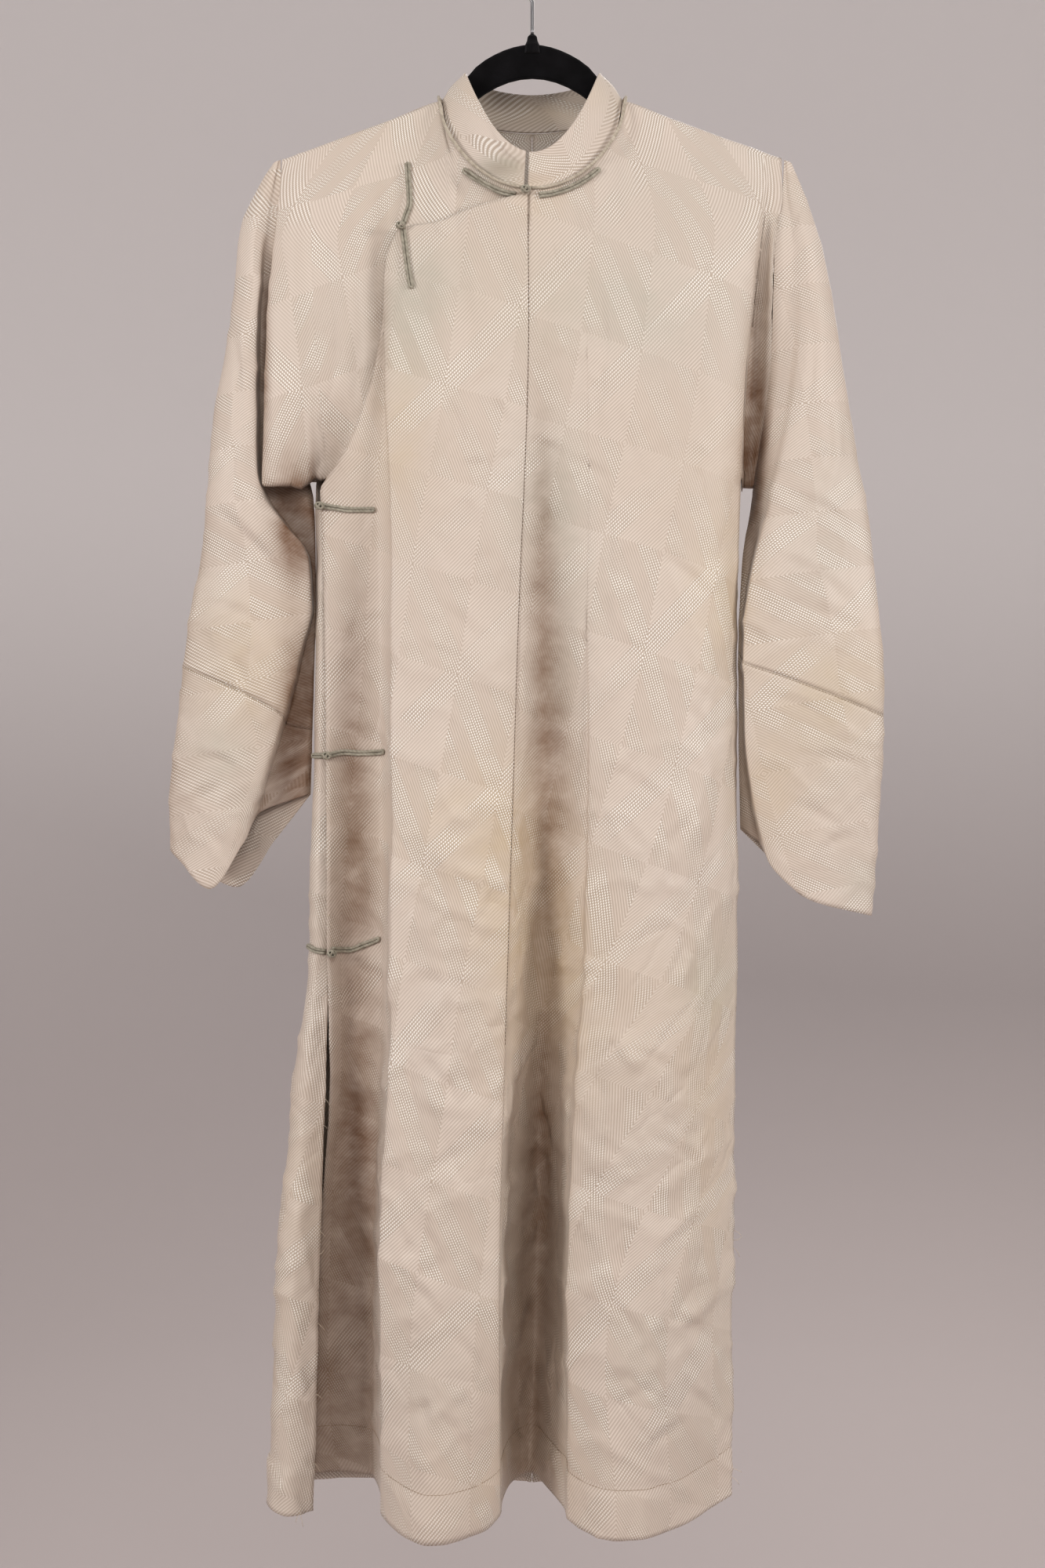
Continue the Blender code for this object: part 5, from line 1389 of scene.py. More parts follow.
    def crushed(self, tree: NodeTree, flat: NodeSocket, bump: Node) -> Node:
        """Sharp straight creases where the silk was crushed, in patches and more of them lower down.

        Args:
            tree: The material's tree.
            flat: The flat-cloth place.
            bump: The weave's relief.

        Returns:
            The node that gives the normal with the creases in it.
        """
        stray = add_node(tree, "TexNoise", {"Vector": flat, "Scale": 1 / self.stray_size})
        drift = (self.stray, self.stray, 0.0)
        lie = add_node(tree, "VectorMath", {0: stray.outputs["Color"], 1: drift, 2: flat},
                       operation="MULTIPLY_ADD")
        turned = add_node(tree, "Mapping", {"Vector": lie, "Rotation": (0, 0, 0.7), "Scale": (1.0, 0.6, 1.0)})
        cells = add_node(tree, "TexVoronoi", {"Vector": turned, "Scale": 1 / self.crease_size},
                         feature="DISTANCE_TO_EDGE", voronoi_dimensions="2D")
        crease = add_node(tree, "MapRange", {"Value": cells.outputs["Distance"], "From Max": 0.14})
        patch = add_node(tree, "TexNoise", {"Vector": flat, "Scale": 1 / self.patch_size})
        some = add_node(tree, "MapRange", {"Value": patch, "From Min": 0.42, "From Max": 0.62})
        down = add_node(tree, "SeparateXYZ", {0: flat})
        lower = add_node(tree, "MapRange", {"Value": down.outputs["Y"], "From Min": 250.0, "From Max": 950.0,
                                            "To Min": 0.25, "To Max": 1.0})
        strength = add_node(tree, "Math", {0: some, 1: lower}, operation="MULTIPLY")
        height = add_node(tree, "Math", {0: crease, 1: strength}, operation="MULTIPLY")
        return add_node(tree, "Bump", {"Height": height, "Strength": 0.6, "Distance": self.crease_depth,
                                      "Normal": bump})


@dataclass(frozen=True)
class WrappedCord:
    """Bias-cut silk rolled into a cord: dull and grey-green, with slanting folds in its skin."""
    name: str = "rolled_silk_cord"
    light: str = "#B4AFA1"
    dark: str = "#8A8577"
    twist: float = 900.0             # folds a metre
    mottle: float = 260.0            # blotches a metre
    roughness: float = 0.72

    def material(self) -> Material:
        """Draw the finish.

        Returns:
            The material.
        """
        material, tree, shader = new_material(self.name, self.roughness)
        place = add_node(tree, "TexCoord").outputs["Object"]
        turned = add_node(tree, "Mapping", {"Vector": place, "Rotation": (0.6, 0.5, 0.7)})
        folds = add_node(tree, "TexWave", {"Vector": turned, "Scale": self.twist / math.tau,
                                           "Distortion": 1.5, "Detail": 2.0})
        mottle = add_node(tree, "TexNoise", {"Vector": place, "Scale": self.mottle, "Detail": 3.0})
        mixed = add_node(tree, "Math", {0: folds.outputs["Fac"], 1: 0.14, 2: mottle},
                         operation="MULTIPLY_ADD")
        tone = add_node(tree, "MapRange", {"Value": mixed, "From Min": 0.35, "From Max": 0.8})
        colour = add_node(tree, "Mix", {0: tone, 6: linear(self.dark), 7: linear(self.light)},
                          data_type="RGBA")
        bump = add_node(tree, "Bump", {"Height": mixed, "Strength": 0.35, "Distance": 0.0003})
        fill(tree, shader, {"Base Color": colour.outputs[2], "Normal": bump, "Sheen Weight": 0.1})
        return material


@dataclass(frozen=True)
class VelvetFlock:
    """Nylon flock blown onto moulded plastic: it drinks the light and only its edges show a soft nap."""
    name: str = "velvet_flock"
    pile: str = "#0B0A0C"
    nap: str = "#1C1B1E"
    fibre: float = 2600.0            # clumps a metre, coarser than the real pile so that they show
    rubbed: float = 60.0             # rubbed patches a metre
    roughness: float = 0.95

    def material(self) -> Material:
        """Draw the finish.

        Returns:
            The material.
        """
        material, tree, shader = new_material(self.name, self.roughness)
        place = add_node(tree, "TexCoord").outputs["Object"]
        pile = add_node(tree, "TexNoise", {"Vector": place, "Scale": self.fibre, "Detail": 2.0})
        rubbed = add_node(tree, "TexNoise", {"Vector": place, "Scale": self.rubbed, "Detail": 3.0})
        worn = add_node(tree, "Math", {0: pile, 1: rubbed}, operation="MULTIPLY")
        tone = add_node(tree, "MapRange", {"Value": worn, "From Min": 0.15, "From Max": 0.45})
        colour = add_node(tree, "Mix", {0: tone, 6: linear(self.pile), 7: linear(self.nap)}, data_type="RGBA")
        bump = add_node(tree, "Bump", {"Height": pile, "Strength": 0.7, "Distance": 0.0004})
        fill(tree, shader, {"Base Color": colour.outputs[2], "Normal": bump, "Sheen Weight": 0.12,
                            "Specular IOR Level": 0.15})
        return material


@dataclass(frozen=True)
class DrawnWire:
    """Bright drawn steel wire, dulled by handling, with fine lines along it."""
    name: str = "drawn_steel_wire"
    steel: str = "#9A9A9C"
    dull: str = "#6E6E71"
    lines: float = 420.0             # blotches a metre, drawn out into lines along the wire
    roughness: float = 0.32
    gloss: tuple = (0.42, 0.26)      # the roughness from dull to bright

    def material(self) -> Material:
        """Draw the finish.

        Returns:
            The material.
        """
        material, tree, shader = new_material(self.name, self.roughness)
        place = add_node(tree, "TexCoord").outputs["Object"]
        lines = add_node(tree, "Mapping", {"Vector": place, "Scale": (9.0, 9.0, 0.6)})
        drawn = add_node(tree, "TexNoise", {"Vector": lines, "Scale": self.lines, "Detail": 2.0})
        colour = add_node(tree, "Mix", {0: drawn, 6: linear(self.dull), 7: linear(self.steel)},
                          data_type="RGBA")
        low, high = self.gloss
        gloss = add_node(tree, "MapRange", {"Value": drawn, "To Min": low, "To Max": high})
        fill(tree, shader, {"Base Color": colour.outputs[2], "Roughness": gloss, "Metallic": 1.0})
        return material


@dataclass(frozen=True)
class SewingThread:
    """Spun thread, matte, in a plain colour that varies a little along its length."""
    name: str
    colour: str
    shade: str
    slubs: float = 300.0             # changes of tone a metre
    roughness: float = 0.8

    def material(self) -> Material:
        """Draw the finish.

        Returns:
            The material.
        """
        material, tree, shader = new_material(self.name, self.roughness)
        place = add_node(tree, "TexCoord").outputs["Object"]
        spun = add_node(tree, "TexNoise", {"Vector": place, "Scale": self.slubs})
        colour = add_node(tree, "Mix", {0: spun, 6: linear(self.shade), 7: linear(self.colour)},
                          data_type="RGBA")
        fill(tree, shader, {"Base Color": colour.outputs[2]})
        return material


# Body of the robe

def last_row(levels: Sequence) -> int:
    """The last whole row of a panel with some level rows."""
    return len(HEAD_STEPS) - 1 + HEAD_ROWS + len(levels) - 1 + FOOT_ROWS


@dataclass
class RobeBody:
    """The fronts and backs, each a folded surface over the fold tables."""
    silk: Material
    levels: tuple = BODY_LEVELS
    front_folds: tuple = crisp(FRONT_FOLDS, {"crease_a": "corner_a", "centre": "wall_b", "edge_c": "wall_c"})
    seam_space: float = 0.006        # from a centre seam to the first column, in fold lines

    def rows_of(self, levels: Sequence) -> tuple:
        """Fine rows of a panel.

        Args:
            levels: The drops of its level rows.

        Returns:
            The rows, and the number of the armpit's row among whole rows.
        """
        last = last_row(levels)
        armpit = last_row(levels[:list(levels).index(ARMPIT_DROP) + 1]) - FOOT_ROWS
        sample = fold_line(FRONT_FOLDS[place_of(FRONT_FOLDS, "slope_a")], Face.FRONT).row_drops(levels)
        rows = [0.0]
        for k in range(last):
            parts = max(2, round((sample[k + 1] - sample[k]) / ROW_STEP))
            rows += [k + (step + 1) / parts for step in range(parts)]
        return np.array(rows), armpit

    @staticmethod
    def columns(chain: list, first: float, last: float, step: float = COLUMN_STEP) -> np.ndarray:
        """Even columns across part of a chain, as close as the widest row needs.

        Args:
            chain: The lines.
            first: First position.
            last: Last position.
            step: The widest spacing wanted, millimetres.

        Returns:
            The positions.
        """
        widest = [line.at(np.array([min(line.foot, WIDEST_DROP)]))[0] for line in chain]
        places = []
        for k in range(int(first), math.ceil(last)):
            low, high = max(first, k), min(last, k + 1)
            width = np.linalg.norm(widest[k + 1] - widest[k]) * (high - low)
            parts = max(2, round(width / step))
            places += [low + (high - low) * part / parts for part in range(parts)]
        return np.array([*places, last])

    @staticmethod
    def valley(sleeve: SleeveCut, face: Face) -> Line:
        """The line where a sleeve's cloth meets the body's drape on a face."""
        line = sleeve_lines(sleeve, TIP_STEP)[0 if face is Face.FRONT else -1]
        line.foot = ARMPIT_DROP
        return line

    def panel(self, body: list, face: Face, turns: tuple, sleeve: SleeveCut, sign: float, first: float,
              levels: Sequence = (), tail: Sequence = (), rim: bool = False) -> ClothMesh:
        """A body panel with the drape that runs on from its side to a sleeve.

        Args:
            body: Its lines, from its seam to its side.
            face: The robe's face that it lies on.
            turns: The turns of its drape.
            sleeve: The sleeve that the drape meets.
            sign: 1 where the lines' way keeps the outer side on its right, -1 where it is turned.
            first: Position of the first column.
            levels: The drops of its level rows, where they aren't the body's.
            tail: Lines that carry it on round the side below the armpit.
            rim: Whether the drape's lower edge rolls back.

        Returns:
            The mesh.
        """
        mesh = ClothMesh()

        def lay(points: np.ndarray, start: np.ndarray | float) -> np.ndarray:
            """Add a patch with its outer side out.

            Args:
                points: The grid.
                start: Flat-cloth place of its near edge.

            Returns:
                The flat-cloth place of its far edge.
            """
            if sign > 0:
                return mesh.patch(points, start, 1.0)
            end = start + self.walk(points)
            mesh.patch(points[:, ::-1], end, -1.0)
            return end

        levels = levels or self.levels
        rows, armpit = self.rows_of(levels)
        upper, lower = rows[rows <= armpit], rows[rows >= armpit]
        last = len(body) - 1
        columns = self.columns(body, first, last)
        chain = [*body, *(turn_line(turn, face) for turn in turns), self.valley(sleeve, face)]
        carried = [*body, *tail]
        above = grid(chain, line_drops(chain, levels, upper), columns)
        below = grid(carried, line_drops(carried, levels, lower), columns)
        plain = grid(body, line_drops(body, levels, lower), columns)
        blend = np.clip(lower - armpit, 0, 1)[:, None, None]
        below = plain * (1 - blend) + below * blend
        whole = np.concatenate([above, below[1:]])
        side = self.columns(chain, last, len(chain) - 1, DRAPE_STEP)
        drape = grid(chain, line_drops(chain, levels, upper), side)
        drape[:, 0] = whole[:len(upper), -1]
        if rim:
            drape = self.rimmed(drape)
        ends = lay(whole, 0.0)
        lay(drape, np.pad(ends[:len(upper)], (0, len(drape) - len(upper)), mode="edge"))
        if tail:
            wrap_rows = lower[lower >= armpit + 1]
            round_side = self.columns(carried, last, len(carried) - 1, DRAPE_STEP)
            wrap = grid(carried, line_drops(carried, levels, wrap_rows), round_side)
            wrap[:, 0] = whole[-len(wrap_rows):, -1]
            lay(wrap, ends[-len(wrap_rows):])
        return mesh

    @staticmethod
    def rimmed(drape: np.ndarray) -> np.ndarray:
        """A drape whose free lower edge sags a little and rolls back into the underarm.

        Args:
            drape: Points shaped (rows, columns, 3), whose first column joins the body.

        Returns:
            The points with the rolled rows below them.
        """
        share = np.linspace(0, 1, drape.shape[1])
        free = np.clip(share * 5, 0, 1)
        low = np.clip((-drape[:, :, 2] - ARMPIT_DROP + SAG_HEIGHT) / SAG_HEIGHT, 0, 1) ** 2
        shaped = drape.copy()
        shaped[:, 1:, 2] -= (np.interp(share, *zip(*SAG)) * low)[:, 1:]
        rows = [shaped]
        for back, down in RIM:
            row = shaped[-1:].copy()
            row[:, :, 1] += back * free
            row[:, :, 2] -= down * free
            rows.append(row)
        return np.concatenate(rows)

    @staticmethod
    def walk(points: np.ndarray) -> np.ndarray:
        """Length of each row of a grid."""
        return np.linalg.norm(np.diff(points, axis=1), axis=2).sum(axis=1)

    def lap_surface(self) -> Callable:
        """The outer front's surface, by share from its cut edge to the centre seam and by drop."""
        surface = surface_of(fold_lines(self.front_folds, Face.FRONT))
        centre = place_of(self.front_folds)
        edge_drops, edge_xs = np.array(LAP_EDGE, float).T
        fine = np.linspace(edge_drops[0] - 30, edge_drops[-1], 90)
        xs = monotone(edge_drops, edge_xs, fine)
        places = [position_at(surface, x, drop, 0.0, float(centre)) for x, drop in zip(xs, fine)]
        places[-1] = 0.0

        def lap(share: np.ndarray, drop: np.ndarray) -> np.ndarray:
            """Points at shares and drops."""
            edge = np.where(drop >= edge_drops[-1], 0.0, np.interp(drop, fine, places))
            points = surface(edge + (centre - edge) * share, drop)
            free = np.clip((LAP_FREE_DROP - drop) / LAP_FREE_FADE, 0, 1)
            edge_lift = LAP_LIFT * np.maximum(0, 1 - share * 1.15) * free
            top_lift = LAP_TOP_LIFT * np.clip((self.levels[0] - drop) / LAP_TOP_FADE, 0, 1)
            points[:, 1] -= np.maximum(edge_lift, top_lift)
            return points

        return lap

    def overlap(self) -> ClothMesh:
        """The outer front that laps over to the wearer's right."""
        lines = fold_lines(self.front_folds, Face.FRONT)
        centre = place_of(self.front_folds)
        positions = self.columns(lines[:centre + 1], 0.0, centre - 0.004)
        share = positions / centre
        top = LAP_CORNER_DROP + (NECK_FRONT_DROP + 4 - LAP_CORNER_DROP) * share
        feet = monotone(range(len(lines)), [line.foot for line in lines], positions)
        first, last = self.levels[0], self.levels[-1]
        down = [top + (first - top) * k / 8 for k in range(8)]
        for low, high in zip(self.levels, self.levels[1:]):
            parts = round((high - low) / ROW_STEP)
            down += [np.full_like(top, low + (high - low) * k / parts) for k in range(parts)]
        down += [last + (feet - last) * k / 12 for k in range(13)]
        drops = np.stack(down)
        points = self.lap_surface()(np.tile(share, len(drops)), drops.ravel())
        points = points.reshape(len(drops), len(share), 3)
        mesh = ClothMesh()
        mesh.patch(points, -self.walk(points), 1.0)
        return mesh

    def front_left(self) -> ClothMesh:
        """The wearer's left front, from the centre seam to the side, with its drape beside the sleeve."""
        body = fold_lines(self.front_folds, Face.FRONT)[place_of(self.front_folds) - 1:]
        return self.panel(body, Face.FRONT, FRONT_TURNS_LEFT, LEFT_SLEEVE, 1.0, 1.004, rim=True)

    def under_lines(self) -> list:
        """The lines of the yoke and under front, which drop back behind the overlap below the collar."""
        lines = fold_lines(UNDER_FOLDS, Face.FRONT)
        for fold, line in zip(UNDER_FOLDS, lines):
            if in_neck(fold.top):
                line.tuck(LAP_TUCK_DROP, LAP_TUCK * min(1.0, max(0.0, 62 - abs(fold.top)) / 30))
            for drop, depth in YOKE_PINS.get(fold.name, ()):
                line.pin(drop, depth)
        return lines

    def under_front(self) -> ClothMesh:
        """The yoke on the wearer's right with its drape, running on as the under front."""
        levels = tuple(drop for drop in self.levels if drop <= UNDER_LAST_LEVEL)
        return self.panel(self.under_lines()[::-1], Face.FRONT, FRONT_TURNS_RIGHT, RIGHT_SLEEVE, -1.0, 0,
                          levels, rim=True)

    def back_left(self) -> ClothMesh:
        """The wearer's left back, from the centre seam to the side."""
        body = fold_lines(BACK_FOLDS[place_of(BACK_FOLDS):], Face.BACK)
        return self.panel(body, Face.BACK, BACK_TURNS_LEFT, LEFT_SLEEVE, -1.0, self.seam_space)

    def back_right(self) -> ClothMesh:
        """The wearer's right back, whose side wraps to the front as a strip below the armpit."""
        body = fold_lines(BACK_FOLDS[:place_of(BACK_FOLDS) + 1], Face.BACK)[::-1]
        strip = fold_lines(STRIP_FOLDS[::-1], Face.FRONT)
        return self.panel(body, Face.BACK, BACK_TURNS_RIGHT, RIGHT_SLEEVE, 1.0, self.seam_space, tail=strip)

    @staticmethod
    def hem_relief(flat: np.ndarray) -> np.ndarray:
        """The turned hem stands a little proud, with a shallow trough where it is sewn down."""
        step = HEM_STEP / (1 + np.exp((flat[:, 2] - HEM_DEPTH) / 1.2))
        sewn = HEM_DIP * np.exp(-((flat[:, 2] - HEM_DEPTH) / 3.0) ** 2)
        return step - sewn

    def build(self) -> None:
        """Make the five body panels."""
        for name, node, mesh, flat, area, creases, seed, seamed in (
            # piece, node, what makes its mesh, flat size, area, creases, seed, whether seamed and hemmed
            ("front_left", "front_left", self.front_left, (0.46, 1.2), 0.304, FRONT_CREASES, 1.7, True),
            ("front_overlap", "front_overlap", self.overlap, (0.34, 1.11), 0.213, FRONT_CREASES, 1.7, True),
            ("under_front", "under_front_right", self.under_front, (0.3, 0.75), 0.14, SHOULDER_CREASES, 1.7,
             False),
            ("back_left", "back_left", self.back_left, (0.26, 1.19), 0.239, BACK_CREASES, 8.4, True),
            ("back_right", "back_right", self.back_right, (0.34, 1.19), 0.287, BACK_CREASES, 8.4, True),
        ):
            ClothPiece(f"robe_{name}", node, mesh(), self.silk, flat, area, creases, seed=seed, seamed=seamed,
                       relief=self.hem_relief if seamed else None).build()


@dataclass
class Sleeves:
    """Both sleeves: an upper part cut in one with the body and an end joined at a slanting seam."""
    silk: Material
    seeds: tuple = (3.0, 9.0)

    def build(self) -> None:
        """Make the four sleeve pieces."""
        for sleeve, seed in zip(SLEEVES, self.seeds):
            lines = sleeve_lines(sleeve)
            if sleeve.tip_x < 0:
                lines.reverse()
            columns = RobeBody.columns(lines, 0.02, len(lines) - 1.02, SLEEVE_STEP)
            rows = np.linspace(0, last_row(SLEEVE_LEVELS), SLEEVE_ROWS)
            shares = np.linspace(0, 1, SLEEVE_END_ROWS)
            ends = np.stack([line.foot + SHOWN_GAP + (line.cuff - line.foot - SHOWN_GAP) * shares
                             for line in lines])
            for part, drops, flat, area, relief in (
                # part, drops, flat size in metres, area, relief
                ("upper", line_drops(lines, SLEEVE_LEVELS, rows), (0.27, 0.45), 0.095, None),
                ("end", ends, (0.26, 0.2), 0.042, self.cuff_relief),
            ):
                mesh = ClothMesh()
                mesh.patch(grid(lines, drops, columns))
                node = f"sleeve_{part}_{sleeve.side}"
                ClothPiece(f"robe_{node}", node, mesh, self.silk, flat, area, SLEEVE_CREASES, Grain.ACROSS,
                           seed, roughened=3.0, calm_above=300.0, relief=relief).build()

    @staticmethod
    def cuff_relief(flat: np.ndarray) -> np.ndarray:
        """The cuff's turned edge stands a little proud."""
        return CUFF_STEP / (1 + np.exp(flat[:, 2] - CUFF_DEPTH))


# Collar, piping and frogs

@dataclass
class Collar:
    """The standing collar band with the corded piping at its foot."""
    silk: Material
    cord: Material
    top_half_width: float = 57.5
    top_side_drop: float = 110.0
    top_front_drop: float = 188.0
    top_back_drop: float = 117.0
    bulge: float = 2.0
    rise: float = 1.2
    inset: float = 0.6
    wall: float = 1.6
    arch: float = 1.9                # how squarely the band's top turns up at its sides
    crush_x: float = -26.0           # the middle of the crushed corner on the wearer's right,
    crush_width: float = 17.0
    lip_share: float = 0.74          # how high up the band it breaks there,
    lip_height: float = 2.4          # and how far it stands out and sinks in
    lip_sink: float = 0.9

    def neckline(self, parts: int) -> np.ndarray:
        """The robe's neckline, from its front centre round the wearer's left side and back again.

        Args:
            parts: Points for each step between two fold lines.

        Returns:
            Points shaped (points, 3).
        """
        front = [fold for fold in FRONT_FOLDS if abs(fold.top) <= NECK_HALF_WIDTH]
        back = [fold for fold in BACK_FOLDS[::-1] if abs(fold.top) <= NECK_HALF_WIDTH]
        centre = place_of(front)
        front_tops, back_tops = (np.stack([line.at(line.top) for line in fold_lines(folds, face)])[:, 0]
                                 for folds, face in ((front, Face.FRONT), (back, Face.BACK)))
        route = []
        for tops, places in ((front_tops, np.linspace(centre + 0.012, len(front) - 1, parts * 5)),
                             (back_tops, np.linspace(0, len(back) - 1, parts * 9)[1:-1]),
                             (front_tops, np.linspace(0, centre - 0.2, parts * 6))):
            chain = np.repeat(tops[:, None], len(places), axis=1)
            route.append(across(chain, places))
        return np.concatenate(route)

    @staticmethod
    def angle(point: np.ndarray) -> float:
        """Angle of a neckline point round the neck: 0 at the front, rising to the wearer's left."""
        return math.atan2(point[0] / NECK_HALF_WIDTH, -point[1] / NECK_HALF_DEPTH)

    def band_point(self, foot: np.ndarray, share: float) -> np.ndarray:
        """A point of the band's outer face above a neckline point.

        Args:
            foot: The neckline point.
            share: How high up the band: 0 is the foot and 1 the top.

        Returns:
            The point.
        """
        angle = self.angle(foot)
        deepest = self.top_front_drop if math.cos(angle) > 0 else self.top_back_drop
        top_drop = self.top_side_drop + (deepest - self.top_side_drop) * abs(math.cos(angle)) ** self.arch
        top = np.array([self.top_half_width * math.sin(angle), foot[1] * 0.97, -top_drop])
        outward = np.array([math.sin(angle), -math.cos(angle), 0])
        way = top - foot
        start = foot + way / np.linalg.norm(way) * self.rise - outward * self.inset
        swell = self.bulge * math.sin(math.pi * share) ** 2
        return start + (top - start) * share + outward * (swell + self.folded(foot, share))

    def folded(self, foot: np.ndarray, share: float) -> float:
        """How far the band's crushed corner on the wearer's right stands out at a place.

        Args:
            foot: The neckline point below it.
            share: How high up the band.

        Returns:
            The distance.
        """
        if foot[1] > 0 or foot[0] > -4:
            return 0.0
        aside = foot[0] - self.crush_x
        near = math.exp(-(aside / self.crush_width) ** 2)
        lip_share = self.lip_share - 0.16 * aside / 20
        over = 1 / (1 + math.exp(-(share - lip_share) / 0.025))
        out = self.lip_height * over * math.exp(-max(0.0, share - lip_share) / 0.28)
        return near * (out - self.lip_sink * (1 - over))

    def build(self) -> None:
        """Make the band and the piping."""
        feet = self.neckline(9)
        shares = np.linspace(1, 0, 26)
        points = np.array([[self.band_point(foot, share) for foot in feet] for share in shares])
        mesh = ClothMesh()
        mesh.patch(points, hung=False)
        ClothPiece("robe_collar_band", "collar", mesh, self.silk, (0.42, 0.036), 0.0148, seed=14.0,
                   roughened=0.35, thickness=self.wall, slot="collar_silk", grain=Grain.ACROSS).build()
        self.piping()

    def piping(self) -> None:
        """The rolled cord that lies in the corner between the band and the body."""
        reach = PIPING_RADIUS + 0.2
        route = []
        for foot in self.neckline(7)[1:-1]:
            angle = self.angle(foot)
            side = math.sin(angle) ** 2
            facing = max(-1.0, min(1.0, 8 * math.cos(angle)))
            outward = np.array([math.sin(angle), -math.cos(angle), 0])
            route.append(foot + outward * reach + np.array([0, -facing, 1]) * reach * side * PIPING_RISE)
        tube = round_cord("robe_collar_piping", route, PIPING_RADIUS, self.cord)
        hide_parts("collar_piping")


def round_cord(name: str, route: Sequence, radius: float, material: Material, sides: int = 3) -> Object:
    """A round cord through points in millimetres, as a mesh.

    Args:
        name: The piece's name.
        route: Its points.
        radius: Its radius.
        material: Its finish.
        sides: The tube's bevel resolution.

    Returns:
        The object.
    """
    curve = bpy.data.curves.new(name, "CURVE")
    curve.dimensions = "3D"
    curve.bevel_depth = radius * MM
    curve.bevel_resolution = sides
    curve.use_fill_caps = True
    spline = curve.splines.new("POLY")
    spline.points.add(len(route) - 1)
    for point, place in zip(spline.points, route):
        point.co = (*(Vector(place) * MM), 1.0)
    holder = bpy.data.objects.new(f"{name}_route", curve)
    mesh = bpy.data.meshes.new_from_object(holder)
    bpy.data.objects.remove(holder)
    bpy.data.curves.remove(curve)
    welded = bmesh.new()
    welded.from_mesh(mesh)
    bmesh.ops.remove_doubles(welded, verts=welded.verts, dist=1e-6)
    welded.to_mesh(mesh)
    welded.free()
    mesh.name = name
    return placed(name, mesh, material)


def smooth_route(route: Sequence, spacing: float) -> list:
    """Points on a smooth curve through a route's points.

    Args:
        route: Points of any dimension.
        spacing: About how far apart the new points are.

    Returns:
        The new points.
    """
    table = np.array(route, float)
    walk = walked(table)
    at = np.linspace(0, walk[-1], max(3, round(walk[-1] / spacing)) + 1)
    return np.stack([monotone(walk, table[:, k], at) for k in range(table.shape[1])], axis=1)


